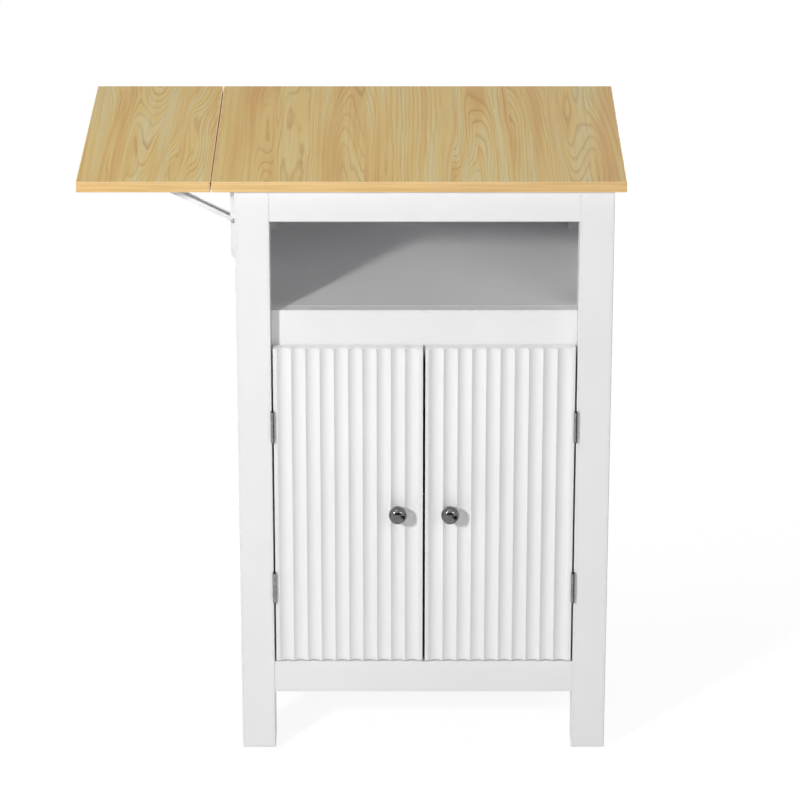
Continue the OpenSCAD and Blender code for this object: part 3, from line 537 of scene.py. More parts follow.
def buildMetal(name, look):
    material, tree = newTree(name)
    patch = addNode(tree, "ShaderNodeTexNoise", {"Detail": 4.0}, size=metalPatch)
    grain = addNode(tree, "ShaderNodeTexNoise", {"Detail": 3.0}, size=look["grain"])
    patched = addNode(
        tree, "ShaderNodeMapRange", {"Value": patch}, spread=(*noiseCore, 0, 1))
    colour = addNode(
        tree, "ShaderNodeMix", {0: patched, 6: look["colour"], 7: look["patch"]},
        data_type="RGBA")
    rough = addNode(
        tree, "ShaderNodeMapRange", {"Value": grain}, spread=(*noiseSpan, *look["rough"]))
    finishSurface(tree, look, colour, rough, grain, Metallic=1.0)
    return material


# Beech rod, turned and cut to length. To the eye: pale pink brown with short dark flecks.
beechLook = {
    "base": "#D9B98C",
    "dark": "#C39A69",
    "fleck": "#A87B4B",
    "grain": (20 * mm, 20 * mm, 0.8 * mm),
    "flecks": (2.2 * mm, 0.9 * mm, 0.9 * mm),
    # a fleck's share falls from its middle outwards, over this span of its cell
    "fleckFade": (0.10, 0.28, 0.6, 0.0),
    "relief": 0.1 * mm,
    "rough": 0.62,
    "ior": 1.54,
}


def buildBeech():
    material, tree = newTree("beechRod")
    grain = addNode(tree, "ShaderNodeTexNoise", {"Detail": 3.0}, size=beechLook["grain"])
    flecks = addNode(tree, "ShaderNodeTexVoronoi", size=beechLook["flecks"])
    colour = addNode(
        tree, "ShaderNodeMix", {0: grain, 6: beechLook["base"], 7: beechLook["dark"]},
        data_type="RGBA")
    spots = addNode(
        tree, "ShaderNodeMapRange", {"Value": flecks}, spread=beechLook["fleckFade"])
    colour = addNode(
        tree, "ShaderNodeMix", {0: spots, 6: colour, 7: beechLook["fleck"]}, data_type="RGBA")
    finishSurface(tree, beechLook, colour, beechLook["rough"], grain, IOR=beechLook["ior"])
    return material


# The record's slots, each with its finish, and the dark pins' own
finishes = {
    "timber_top": buildMaple(),
    "edge_strip": buildEdging(),
    "beech": buildBeech(),
}
paintSlots = {
    "white_paint": "whiteLacquer",
    "white_powder_coat": "whitePowderCoat",
    "moulded_plastic": "mouldedPlastic",
    "ferrite": "groundFerrite",
}
metalSlots = {
    "satin_nickel": "satinNickel",
    "hinge_steel": "rolledHingeSteel",
    "zinc_plated_steel": "brightZinc",
    "spring_steel": "oiledSpringSteel",
    "zinc_alloy": "dieCastZinc",
}
for slotName, finishName in paintSlots.items():
    finishes[slotName] = buildPaint(finishName, paintLooks[finishName])
for slotName, finishName in metalSlots.items():
    finishes[slotName] = buildMetal(finishName, metalLooks[finishName])
darkPins = buildMetal("blackenedSteel", metalLooks["blackenedSteel"])
slotOf = {name: node.data.materials[0].name for name, node in nodes.items()}
for name, node in nodes.items():
    node.data.materials[0] = finishes[slotOf[name]]
print("materials built:", len(finishes))


# Shapes

def weld(points, faces):
    # points that share a place become one, and a face side of no length is dropped
    keys = np.round(points / weldStep).astype(np.int64)
    _, first, inverse = np.unique(keys, axis=0, return_index=True, return_inverse=True)
    merged = inverse.ravel()[np.asarray(faces)]
    whole = np.all(merged != np.roll(merged, 1, axis=1), axis=1)
    result = merged[whole].tolist()
    for face in merged[~whole].tolist():
        kept = [v for i, v in enumerate(face) if v != face[i - 1]]
        if len(set(kept)) == len(kept) >= 3:
            result.append(kept)
    return points[first], result, first


def gridFaces(rows, columns, loopRows=False, loopColumns=False):
    # one quad between each grid point and its neighbours; a loop joins the last line to the first
    row = np.arange(rows if loopRows else rows - 1)[:, None]
    column = np.arange(columns if loopColumns else columns - 1)[None, :]
    nextRow = (row + 1) % rows
    nextColumn = (column + 1) % columns
    corners = (
        row * columns + column,
        row * columns + nextColumn,
        nextRow * columns + nextColumn,
        nextRow * columns + column,
    )
    return np.stack(corners, -1).reshape(-1, 4)


def makePiece(name, points, faces, wear=None, normals=None, sharpDegrees=35):
    # a smooth shaded mesh object at the origin, sharp only past the given angle
    mesh = bpy.data.meshes.new(name)
    mesh.from_pydata(points.tolist(), [], faces)
    mesh.update()
    if wear is not None:
        attribute = mesh.attributes.new("wear", "FLOAT", "POINT")
        attribute.data.foreach_set("value", wear.astype(np.float32))
    mesh.shade_smooth()
    if normals is not None:
        mesh.normals_split_custom_set_from_vertices(normals.tolist())
    elif sharpDegrees:
        mesh.set_sharp_from_angle(angle=math.radians(sharpDegrees))
    piece = bpy.data.objects.new(name, mesh)
    bpy.context.scene.collection.objects.link(piece)
    return piece


def pieceName(node):
    # leg_front_left becomes legFrontLeft
    words = node.split("_")
    return words[0] + "".join(word.capitalize() for word in words[1:])


def standIn(piece, *replaced):
    # the piece takes the finish and the body of the nodes that it stands for
    slotName = slotOf[replaced[0]]
    piece.data.materials.append(finishes[slotName])
    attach(piece, nodes[replaced[0]]["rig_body"])
    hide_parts(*replaced)
    return piece


def blockCuts(low, high, radius, band, rings):
    # cuts along one side of a block: the rounding in equal angles, then a band that takes the wear
    reach = radius * np.tan(np.linspace(math.pi / 4, 0, rings + 1))
    start = low + radius - reach
    end = high - radius + reach[::-1]
    if high - low > 2 * (radius + band) + band:
        return np.concatenate([start, [low + radius + band, high - radius - band], end])
    return np.concatenate([start, end])


def softBlock(name, low, high, radius, band=4 * mm, rings=3):
    # a block with every edge rounded: each point of a cut cube is pulled to the nearest point of
    # an inner block, then pushed out from it by the radius
    low = np.array(low, float)
    high = np.array(high, float)
    cuts = [blockCuts(low[i], high[i], radius, band, rings) for i in range(3)]
    allPoints = []
    allFaces = []
    count = 0
    for axis in range(3):
        b = (axis + 1) % 3
        c = (axis + 2) % 3
        for level in (low[axis], high[axis]):
            face = np.zeros((len(cuts[b]), len(cuts[c]), 3))
            face[..., axis] = level
            face[..., b] = cuts[b][:, None]
            face[..., c] = cuts[c][None, :]
            quads = gridFaces(len(cuts[b]), len(cuts[c])) + count
            if level == high[axis]:
                quads = quads[:, ::-1]
            allPoints.append(face.reshape(-1, 3))
            allFaces.append(quads)
            count += face.size // 3
    points = np.concatenate(allPoints)
    edgeNear = np.sort(np.minimum(points - low, high - points), axis=1)[:, 1]
    wear = 1 - np.clip(edgeNear / (radius + band), 0, 1)
    core = np.clip(points, low + radius, high - radius)
    normals = points - core
    normals /= np.linalg.norm(normals, axis=1)[:, None]
    points, faces, first = weld(core + radius * normals, np.concatenate(allFaces))
    return makePiece(name, points, faces, wear[first], normals[first])


def filleted(corners, step=12, straight=0.01):
    # an open outline of (x, y, radius) corners, with an arc of that radius in each corner, a
    # point for every step degrees of turn. A corner that is straight to so many radians has none.
    line = [np.array(corners[0][:2], float)]
    for before, here, after in zip(corners, corners[1:], corners[2:]):
        corner = np.array(here[:2], float)
        back = np.array(before[:2], float) - corner
        ahead = np.array(after[:2], float) - corner
        back /= np.linalg.norm(back)
        ahead /= np.linalg.norm(ahead)
        half = math.acos(np.clip(back @ ahead, -1, 1)) / 2
        if here[2] == 0 or half > math.pi / 2 - straight:
            line.append(corner)
            continue
        middle = back + ahead
        centre = corner + middle / np.linalg.norm(middle) * here[2] / math.sin(half)
        first = corner + back * here[2] / math.tan(half) - centre
        last = corner + ahead * here[2] / math.tan(half) - centre
        turn = math.pi - 2 * half
        share = np.linspace(0, 1, max(2, round(math.degrees(turn) / step) + 1))[:, None]
        arc = np.sin((1 - share) * turn) * first + np.sin(share * turn) * last
        line.extend(centre + arc / math.sin(turn))
    line.append(np.array(corners[-1][:2], float))
    return np.array(line)


def alikeEnds(half, length):
    # an outline with two ends alike, from the (radius, height, rounding) corners of one end
    other = [(radius, length - height, rounding) for radius, height, rounding in reversed(half)]
    return filleted(half + other)


def sideVectors(axis):
    # two unit vectors square to the axis, so that side, up and axis are right handed
    axis = np.array(axis, float)
    side = np.roll(np.abs(axis), 1)
    side -= axis * (side @ axis)
    side /= np.linalg.norm(side)
    return axis, side, np.cross(axis, side)


def turnedGrid(outline, start, axis, turns, carve=None):
    # a solid of revolution: each outline point (radius, height) is carried round the axis, and
    # carve may lower a point by its place across the axis
    axis, side, up = sideVectors(axis)
    angle = np.arange(turns) * 2 * math.pi / turns
    radius = outline[:, :1]
    across = radius * np.cos(angle)
    over = radius * np.sin(angle)
    height = np.repeat(outline[:, 1:], turns, axis=1)
    if carve is not None:
        height = carve(across, over, height)
    points = (
        np.array(start, float)
        + height[..., None] * axis
        + across[..., None] * side
        + over[..., None] * up
    )
    return points.reshape(-1, 3), gridFaces(len(outline), turns, loopColumns=True)


def crossBars(u, v, long, wide, soft):
    # how far each point lies inside two crossed bars: 1 within, and less across their soft sides
    bars = [
        np.clip((wide - np.abs(a)) / soft, 0, 1) * np.clip((long - np.abs(b)) / soft, 0, 1)
        for a, b in ((u, v), (v, u))
    ]
    return np.maximum(*bars)


def joinedPiece(node, grids):
    # several grids as one welded piece that stands in for the node
    counts = np.cumsum([0] + [len(points) for points, _ in grids[:-1]])
    points = np.concatenate([points for points, _ in grids])
    faces = np.concatenate([faces + count for (_, faces), count in zip(grids, counts)])
    points, faces, _ = weld(points, faces)
    return standIn(makePiece(pieceName(node), points, faces), node)


def packedMesh(node):
    # the points and triangles of a node as it was packed
    mesh = nodes[node].data
    points = np.empty(len(mesh.vertices) * 3, np.float32)
    mesh.vertices.foreach_get("co", points)
    corners = np.empty(len(mesh.loops), np.int32)
    mesh.loops.foreach_get("vertex_index", corners)
    return points.reshape(-1, 3).astype(float), corners.reshape(-1, 3)


def solidsOf(node):
    # (lowest corner, highest corner, points) of each separate solid in a node
    points, triangles = packedMesh(node)
    keys = np.round(points / weldStep).astype(np.int64)
    _, inverse = np.unique(keys, axis=0, return_inverse=True)
    inverse = inverse.ravel()
    triangles = inverse[triangles]
    label = np.arange(inverse.max() + 1)
    while True:
        # each triangle's corners take the lowest label among them, until none changes
        lowest = label[triangles].min(axis=1)
        spread = label.copy()
        for corner in range(3):
            np.minimum.at(spread, triangles[:, corner], lowest)
        if np.array_equal(spread, label):
            break
        label = spread
    owner = label[inverse]
    found = []
    for value in np.unique(owner):
        own = points[owner == value]
        found.append((own.min(0), own.max(0), own))
    return found


def turnedPiece(node, outlineOf, axis=None, turns=32, carveOf=None):
    # each solid of a node turned about its own middle line, which lies along its longest side or
    # the given axis. Its outline is worked out from its length and radius, and a carving from
    # its length.
    grids = []
    for low, high, _ in solidsOf(node):
        along = int(np.argmax(high - low)) if axis is None else axis
        length = high[along] - low[along]
        radius = np.delete(high - low, along).max() / 2
        start = (low + high) / 2
        start[along] = low[along]
        carve = carveOf(length) if carveOf else None
        grids.append(turnedGrid(
            outlineOf(length, radius), start, np.eye(3)[along], turns, carve))
    return joinedPiece(node, grids)


copyLook = {"flatDegrees": 0.2, "sharpDegrees": 35, "easeDegrees": 40, "rings": 2}


def dressedCopy(node, ease):
    # a merged copy of a node's mesh: faces flat to flatDegrees are made whole, an edge that turns
    # more than sharpDegrees stays sharp, and past easeDegrees it is eased
    points, faces, _ = weld(*packedMesh(node))
    piece = makePiece(pieceName(node), points, faces, sharpDegrees=0)
    shape = bmesh.new()
    shape.from_mesh(piece.data)
    bmesh.ops.dissolve_limit(
        shape, angle_limit=math.radians(copyLook["flatDegrees"]),
        verts=shape.verts, edges=shape.edges)
    shape.to_mesh(piece.data)
    shape.free()
    piece.data.shade_smooth()
    piece.data.set_sharp_from_angle(angle=math.radians(copyLook["sharpDegrees"]))
    bevel = piece.modifiers.new("easedEdges", "BEVEL")
    bevel.width = ease
    bevel.segments = copyLook["rings"]
    bevel.limit_method = "ANGLE"
    bevel.angle_limit = math.radians(copyLook["easeDegrees"])
    bevel.harden_normals = True
    bevel.use_clamp_overlap = True
    return standIn(piece, node)


# Worktop and leaf

boardLook = {
    "edgeRadius": 0.25 * mm,
    "coreBand": 3 * mm,
    "edging": 1.0 * mm,
    "cornerRadius": 1.6 * mm,
    "cornerRows": 7,
    "lip": 0.7 * mm,
    "wearBand": 2 * mm,
}


def edgingBand(node):
    # a strip carried round the board: the path is a rectangle with small round corners, and the
    # section is a flat strip whose two outer edges are scraped round
    low, high = (np.array(corner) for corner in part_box(node))
    thick = boardLook["edging"]
    turn = boardLook["cornerRadius"]
    lip = boardLook["lip"]
    worn = lip + boardLook["wearBand"]
    section = filleted([
        (0, low[2], 0), (thick, low[2], lip), (thick, high[2], lip), (0, high[2], 0),
    ])
    holding = np.array([[thick, low[2] + worn], [thick, high[2] - worn]])
    middle = len(section) // 2
    section = np.concatenate([section[:middle], holding, section[middle:]])
    nearLip = np.minimum(section[:, 1] - low[2], high[2] - section[:, 1])
    sectionWear = np.clip(1 - nearLip / worn, 0, 1)
    # the path's corners: an arc's centre stands in from each corner by the turn
    angles = np.linspace(0, math.pi / 2, boardLook["cornerRows"])
    rows = []
    for x, y, start in (
        (high[0], high[1], 0), (low[0], high[1], 1), (low[0], low[1], 2), (high[0], low[1], 3),
    ):
        heading = angles + start * math.pi / 2
        out = np.stack([np.cos(heading), np.sin(heading)], 1)
        inward = np.array([-1 if x == high[0] else 1, -1 if y == high[1] else 1])
        centre = np.array([x, y]) + inward * turn
        reach = turn - thick + section[:, 0]
        ring = centre + out[:, None, :] * reach[None, :, None]
        flat = np.broadcast_to(section[:, 1], ring.shape[:2])[..., None]
        rows.append(np.concatenate([ring, flat], -1))
    grid = np.concatenate(rows)
    faces = gridFaces(grid.shape[0], grid.shape[1], loopRows=True, loopColumns=True)
    wear = np.tile(sectionWear, grid.shape[0])
    points, faces, first = weld(grid.reshape(-1, 3), faces)
    standIn(makePiece(pieceName(node), points, faces, wear[first]), node)


def boardCore(name, node):
    # printed on top and white beneath, where the balancing paper is
    low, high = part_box(node)
    board = softBlock(name, low, high, boardLook["edgeRadius"], band=boardLook["coreBand"])
    standIn(board, node)
    board.data.materials.append(finishes["white_paint"])
    normals = np.empty(len(board.data.polygons) * 3, np.float32)
    board.data.polygons.foreach_get("normal", normals)
    facingDown = (normals.reshape(-1, 3)[:, 2] < -0.9).astype(np.int32)
    board.data.polygons.foreach_set("material_index", facingDown)


boardCore("worktopBoard", "worktop")
boardCore("leafBoard", "drop_leaf")
edgingBand("worktop_edging")
edgingBand("leaf_edging")
print("worktop and leaf built")

# Cabinet: posts, boards and panels, sprayed in white lacquer

cabinetLook = {"postRadius": 1.5 * mm, "boardRadius": 0.8 * mm, "ease": 0.7 * mm}
plainBlocks = {
    "leg_front_left": "postRadius",
    "leg_front_right": "postRadius",
    "middle_rail": "postRadius",
    "leg_back_left": "postRadius",
    "leg_back_right": "postRadius",
    "back_panel": "boardRadius",
    "loose_shelf": "boardRadius",
}
boredBoards = [
    "top_rail_front", "top_rail_back", "bottom_rail_front", "bottom_rail_back",
    "side_panel_left", "side_panel_right", "compartment_shelf", "cupboard_floor",
]
for node, edge in plainBlocks.items():
    low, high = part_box(node)
    standIn(softBlock(pieceName(node), low, high, cabinetLook[edge]), node)
for node in boredBoards:
    dressedCopy(node, cabinetLook["ease"])
print("cabinet built")

# Doors: a front of round flutes with ridges softened by the lacquer

doorLook = {
    "flutes": 10,
    "margin": 6 * mm,
    "land": 0.6 * mm,
    "depth": 4 * mm,
    "soft": 0.35 * mm,
    "ease": 0.9 * mm,
    "columnsPerFlute": 28,
    "easeRows": 5,
    "easeColumns": 4,
    "sharpDegrees": 50,
    # how far the lacquer is rubbed: down from a ridge, and in from an edge, and a ridge's share
    "ridgeWear": 0.5 * mm,
    "edgeWear": 4 * mm,
    "ridgeShare": 0.55,
}


def flutedDoor(node):
    # the front is a height over the width: in each flute a circle's arc, blended with the flat
    # face by the root of the squares. The section is carried up the door, eased at all edges.
    low, high = (np.array(corner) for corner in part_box(node))
    width = high[0] - low[0]
    margin = doorLook["margin"]
    pitch = (width - 2 * margin) / doorLook["flutes"]
    half = (pitch - doorLook["land"]) / 2
    depth = doorLook["depth"]
    radius = (half * half + depth * depth) / (2 * depth)
    ease = doorLook["ease"]
    # columns crowd at the ridges: an even angle through each flute, from ridge to ridge. Places
    # are rounded to a ten-thousandth of a millimetre, so that a column stands there once.
    inFlute = (1 - np.cos(np.linspace(0, math.pi, doorLook["columnsPerFlute"] + 1))) / 2
    flutes = margin + pitch * (np.arange(doorLook["flutes"])[:, None] + inFlute)
    edge = ease - ease * np.tan(np.linspace(math.pi / 4, 0, doorLook["easeColumns"]))
    x = np.unique(np.round(np.concatenate([
        edge, [margin / 2], flutes.ravel(), [width - margin / 2], width - edge,
    ]), 7))
    flute = np.clip(np.floor((x - margin) / pitch), 0, doorLook["flutes"] - 1)
    fromMiddle = x - (margin + pitch * (flute + 0.5))
    arc = np.sqrt(np.maximum(radius**2 - fromMiddle**2, 0)) - (radius - depth)
    arc = np.where(np.abs(fromMiddle) > pitch / 2, -1 * mm, arc)  # flat past the last flutes
    soft = doorLook["soft"]
    sunk = (arc + np.sqrt(arc * arc + soft * soft)) / 2
    # the rounding of the door's upright edges moves a column in by its share of the ease
    fromSide = np.minimum(x, width - x)
    slope = np.clip((ease - fromSide) / ease, 0, 1)
    cosine = 1 / np.sqrt(1 + slope**2)
    pull = ease * (1 - cosine)
    place = np.where(fromSide < ease, ease * (1 - slope * cosine), fromSide)
    leftHalf = x < width / 2
    columnX = np.where(leftHalf, place, width - place)
    sideInset = np.where(leftHalf, 1, -1) * np.clip(1 - fromSide / (2 * ease), 0, 1)
    # rows: the end easing in equal angles, and a band of rows for the wear
    turn = np.linspace(math.pi / 2, 0, doorLook["easeRows"])
    rise = np.concatenate([ease * (1 - np.sin(turn)), [ease + doorLook["edgeWear"]]])
    inset = np.concatenate([ease * (1 - np.cos(turn)), [0.0]])
    z = np.concatenate([low[2] + rise, [(low[2] + high[2]) / 2], (high[2] - rise)[::-1]])
    inset = np.concatenate([inset, [0.0], inset[::-1]])[:, None]
    # a ring of columns runs across the front and back across the rear
    ringCount = 2 * len(x)
    grid = np.zeros((len(z), ringCount, 3))
    grid[..., 0] = (
        low[0] + np.concatenate([columnX, columnX[::-1]])
        + inset * np.concatenate([sideInset, sideInset[::-1]])
    )
    grid[:, :len(x), 1] = low[1] + sunk + pull + inset
    grid[:, len(x):, 1] = high[1] - pull[::-1] - inset
    grid[..., 2] = z[:, None]
    # the two ends are strips between the front and the back at the same column
    column = np.arange(len(x) - 1)
    other = ringCount - 1 - column
    lastRow = (len(z) - 1) * ringCount
    bottom = np.stack([column, other, other - 1, column + 1], 1)
    top = np.stack([column + 1, other - 1, other, column], 1) + lastRow
    faces = np.concatenate([gridFaces(len(z), ringCount, loopColumns=True), bottom, top])
    ridge = np.clip(1 - (sunk - soft / 2) / doorLook["ridgeWear"], 0, 1)
    nearSide = np.clip(1 - fromSide / doorLook["edgeWear"], 0, 1)
    nearEnd = np.clip(1 - np.minimum(z - low[2], high[2] - z) / doorLook["edgeWear"], 0, 1)
    ridge = np.where(fromSide < margin, nearSide, ridge)
    ringWear = doorLook["ridgeShare"] * np.concatenate([ridge, nearSide[::-1]])
    wear = np.maximum(nearEnd[:, None], ringWear)
    points, faces, first = weld(grid.reshape(-1, 3), faces)
    door = makePiece(
        pieceName(node), points, faces, wear.ravel()[first],
        sharpDegrees=doorLook["sharpDegrees"])
    standIn(door, node)


flutedDoor("door_left")
flutedDoor("door_right")
print("doors built")

# Knobs: turned and plated, on a round base with a waist below the flattened ball

knobLook = {
    "baseRadius": 8 * mm,
    "baseHeight": 2.5 * mm,
    "footRound": 0.3 * mm,
    "baseRound": 0.9 * mm,
    "waistRadius": 5.5 * mm,
    "waistDip": 0.35 * mm,
    # in radii of the ball: how far its middle stands behind its front, and the front's radius
    "flattening": 0.8,
    "frontRadius": 2,
    # the turns, in radians, that the shoulder takes off the ball and off the front
    "offBall": 0.16,
    "offFront": 0.08,
    "ballRows": 30,
    "shoulderRows": 8,
    "frontRows": 16,
    "turns": 96,
}


def turnedKnob(node):
    # an outline of two arcs for the ball, a large one in front and the ball's own behind it,
    # with a rounded shoulder between, carried round the axis
    low, high = (np.array(corner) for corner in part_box(node))
    length = high[1] - low[1]
    ball = (high[0] - low[0]) / 2
    ballAt = length - knobLook["flattening"] * ball
    faceRadius = knobLook["frontRadius"] * ball
    base = knobLook["baseRadius"]
    rise = knobLook["baseHeight"]
    waist = knobLook["waistRadius"]
    dip = waist - knobLook["waistDip"]
    foot = filleted([
        (0, 0, 0), (base, 0, knobLook["footRound"]), (base, rise, knobLook["baseRound"]),
        (dip, rise, knobLook["baseRound"]), (dip, ballAt - math.sqrt(ball**2 - waist**2), 0),
    ])
    # where the ball's circle meets the front's flatter one
    faceAt = length - faceRadius
    gap = ballAt - faceAt
    along = (faceRadius**2 - ball**2 + gap**2) / (2 * gap)
    meet = math.asin((along - gap) / ball)
    sweep = np.linspace(
        -math.acos(waist / ball), meet - knobLook["offBall"], knobLook["ballRows"])[:, None]
    sphere = np.concatenate([ball * np.cos(sweep), ballAt + ball * np.sin(sweep)], 1)
    edgeAngle = math.asin(math.sqrt(faceRadius**2 - along**2) / faceRadius)
    sweep = np.linspace(edgeAngle - knobLook["offFront"], 0, knobLook["frontRows"])[:, None]
    front = np.concatenate(
        [faceRadius * np.sin(sweep), faceAt + faceRadius * np.cos(sweep)], 1)
    # the shoulder is a cubic that leaves the ball and reaches the front along their tangents
    leave = sphere[-1]
    reach = front[0]
    leaveWay = sphere[-1] - sphere[-2]
    reachWay = front[1] - front[0]
    size = np.linalg.norm(reach - leave)
    leaveWay *= size / np.linalg.norm(leaveWay)
    reachWay *= size / np.linalg.norm(reachWay)
    t = np.linspace(0, 1, knobLook["shoulderRows"])[1:-1, None]
    shoulder = (
        (2 * t**3 - 3 * t**2 + 1) * leave + (t**3 - 2 * t**2 + t) * leaveWay
        + (3 * t**2 - 2 * t**3) * reach + (t**3 - t**2) * reachWay
    )
    outline = np.concatenate([foot, sphere, shoulder, front])
    start = ((low[0] + high[0]) / 2, high[1], (low[2] + high[2]) / 2)
    joinedPiece(node, [turnedGrid(outline, start, (0, -1, 0), knobLook["turns"])])


turnedKnob("knob_left")
turnedKnob("knob_right")
print("knobs built")

# Screws: a domed or flat head with a cross recess, over a threaded shank with a point

screwLook = {
    "shank": 1.6 * mm,
    "pitch": 1.3 * mm,
    "rowsPerPitch": 4,
    "threadDepth": 0.28 * mm,
    "point": 2.5 * mm,
    "plainNeck": 1.2 * mm,
    "turns": 36,
    "headRows": 14,
    # a dome: where its first row stands in its quarter turn, and a power that fills out its rim
    "domeFrom": 0.12,
    "domePower": 0.8,
    "flatRim": 0.1 * mm,
    # radians from the recess of one screw to that of the next
    "recessTurn": 0.7,
}
# in radii and heights of the head: the recess, how much shallower its ends are, and how far
# down the head a row may be and still sink with it
recessLook = {
    "long": 0.62,
    "wide": 0.19,
    "deep": 0.806,
    "endRise": 0.45,
    "within": 0.75,
    "soft": 0.14 * mm,
}
heads = {
    "pan": {"radius": 3.4 * mm, "height": 1.6 * mm, "domed": True},
    "flat": {"radius": 2.7 * mm, "height": 1.4 * mm, "domed": False},
}
screwSets = {
    "top_angle_screws": "pan", "catch_screws": "pan",
    "wall_arm_screws": "pan", "leaf_arm_screws": "pan",
    "frame_hinge_screws": "flat", "door_screws_left": "flat", "door_screws_right": "flat",
}


def fastenerPlace(low, high, points, endBand=0.2 * mm):
    # where a screw's tip is and which way its head lies: the end that is wider within its band
    axis = int(np.argmax(high - low))
    centre = (low + high) / 2
    reach = np.linalg.norm(np.delete(points - centre, axis, axis=1), axis=1)
    nearLow = points[:, axis] < low[axis] + endBand
    nearHigh = points[:, axis] > high[axis] - endBand
    headHigh = reach[nearHigh].max() > reach[nearLow].max()
    direction = np.zeros(3)
    direction[axis] = 1 if headHigh else -1
    tip = centre.copy()
    tip[axis] = low[axis] if headHigh else high[axis]
    return tip, direction, high[axis] - low[axis]


def crossRecess(headRadius, headHeight, top, angle):
    # two crossed bars cut down from the top of the head, deepest in the middle
    long = headRadius * recessLook["long"]
    wide = headRadius * recessLook["wide"]

    def carve(across, over, height):
        u = across * math.cos(angle) + over * math.sin(angle)
        v = over * math.cos(angle) - across * math.sin(angle)
        bars = crossBars(u, v, long, wide, recessLook["soft"])
        taper = 1 - recessLook["endRise"] * np.clip(np.hypot(u, v) / long, 0, 1)
        onTop = height > top - recessLook["within"] * headHeight
        return height - np.where(onTop, bars * taper * headHeight * recessLook["deep"], 0)

    return carve


def screwHead(head, shank, under, length):
    # out under the head and over it to its middle: a dome is the sine of a quarter turn high
    # where it is a power of the cosine wide, and a flat head is lowered a little at its rim
    rows = screwLook["headRows"]
    if head["domed"]:
        sweep = np.linspace(screwLook["domeFrom"], 1, rows) * math.pi / 2
        ring = head["radius"] * np.cos(sweep) ** screwLook["domePower"]
        over = np.stack([ring, under + head["height"] * np.sin(sweep)], 1)
        below = np.array([[shank, under], [head["radius"], under]])
    else:
        ring = head["radius"] * np.linspace(1, 0, rows)
        over = np.stack([ring, np.full(rows, length)], 1)
        over[0, 1] -= screwLook["flatRim"]
        below = np.array([[shank, under]])
    return np.concatenate([below, over])


def screwGrid(tip, direction, length, head, angle):
    # rows run from the point up the thread, out under the head and over it to its middle. The
    # thread is a ripple of the radius: it rises and falls evenly with height, and a turn shifts
    # it by one pitch.
    shank = screwLook["shank"]
    pitch = screwLook["pitch"]
    turns = screwLook["turns"]
    neck = screwLook["plainNeck"]
    under = length - head["height"]
    rows = np.arange(0, under - neck, pitch / screwLook["rowsPerPitch"])
    cone = np.clip(rows / screwLook["point"], 0, 1)
    outline = np.concatenate([
        np.stack([shank * cone, rows], 1),
        [[shank, under - neck / 2]],
        screwHead(head, shank, under, length),
    ])
    carve = crossRecess(head["radius"], head["height"], length, angle)
    points, faces = turnedGrid(outline, tip, direction, turns, carve)
    # the ripple is pressed into the shank's rows after they are turned
    _, side, up = sideVectors(direction)
    grid = points.reshape(len(outline), turns, 3)
    turn = np.arange(turns) / turns
    wave = np.abs(((rows[:, None] / pitch + turn) % 1) * 2 - 1)
    squeeze = screwLook["threadDepth"] * wave * cone[:, None]
    way = np.cos(turn * 2 * math.pi)[:, None] * side + np.sin(turn * 2 * math.pi)[:, None] * up
    grid[:len(rows)] -= squeeze[..., None] * way[None]
    return grid.reshape(-1, 3), faces


for node, head in screwSets.items():
    grids = []
    for count, solid in enumerate(solidsOf(node)):
        angle = screwLook["recessTurn"] * count
        grids.append(screwGrid(*fastenerPlace(*solid), heads[head], angle))
    joinedPiece(node, grids)

# Knob screws: a machine screw with a low pan head on the door's inner face

knobScrewLook = {
    "radius": 4 * mm,
    "height": 2 * mm,
    "shank": 2 * mm,
    "threadStep": 0.35 * mm,
    "threadDepth": 0.18 * mm,
    "rimRound": 0.2 * mm,
    "topRound": 1.1 * mm,
    # shares of the radius: the head's flat top, and the first row of it that the recess may sink
    "flat": 0.7,
    "rowsFrom": 0.66,
    "headRows": 10,
    "recessAngle": 0.3,
    "turns": 48,
}


def knobScrew(node):
    # every other row of the shank is drawn in, which reads as a fine thread
    tip, direction, length = fastenerPlace(*solidsOf(node)[0])
    radius = knobScrewLook["radius"]
    height = knobScrewLook["height"]
    shank = knobScrewLook["shank"]
    rows = np.arange(0, length - height, knobScrewLook["threadStep"])
    thread = shank - knobScrewLook["threadDepth"] * (np.arange(len(rows)) % 2)
    head = filleted([
        (shank, length - height, 0), (radius, length - height, knobScrewLook["rimRound"]),
        (radius, length, knobScrewLook["topRound"]), (radius * knobScrewLook["flat"], length, 0),
    ])
    top = np.linspace(radius * knobScrewLook["rowsFrom"], 0, knobScrewLook["headRows"])
    outline = np.concatenate([
        [[0, 0]], np.stack([thread, rows], 1), head,
        np.stack([top, np.full(len(top), length)], 1),
    ])
    carve = crossRecess(radius, height, length, knobScrewLook["recessAngle"])
    joinedPiece(node, [turnedGrid(outline, tip, direction, knobScrewLook["turns"], carve)])


knobScrew("knob_screw_left")
knobScrew("knob_screw_right")
print("screws built")

# Hinges: rolled leaves, and pins with a domed cap at each end

hingeLook = {
    "ease": 0.30 * mm,
    "pinRadius": 1.2 * mm,
    "capHeight": 1.0 * mm,
    "capRound": 0.8 * mm,
    "capEdge": 0.1 * mm,
}


def hingePinOutline(length, radius):
    # a pin with a cap on each end
    rise = hingeLook["capHeight"]
    return alikeEnds([
        (0, 0, 0), (radius, 0, hingeLook["capRound"]), (radius, rise, hingeLook["capEdge"]),
        (hingeLook["pinRadius"], rise, 0),
    ], length)


for node in ("frame_hinge_leaves", "door_hinge_leaves_left", "door_hinge_leaves_right"):
    dressedCopy(node, hingeLook["ease"])
pins = turnedPiece("hinge_pins", hingePinOutline, axis=2)
pins.data.materials.append(darkPins)
pins.data.polygons.foreach_set("material_index", np.ones(len(pins.data.polygons), np.int32))
print("hinges built")

# Magnetic catches and strike plates, each with the easing of its edges

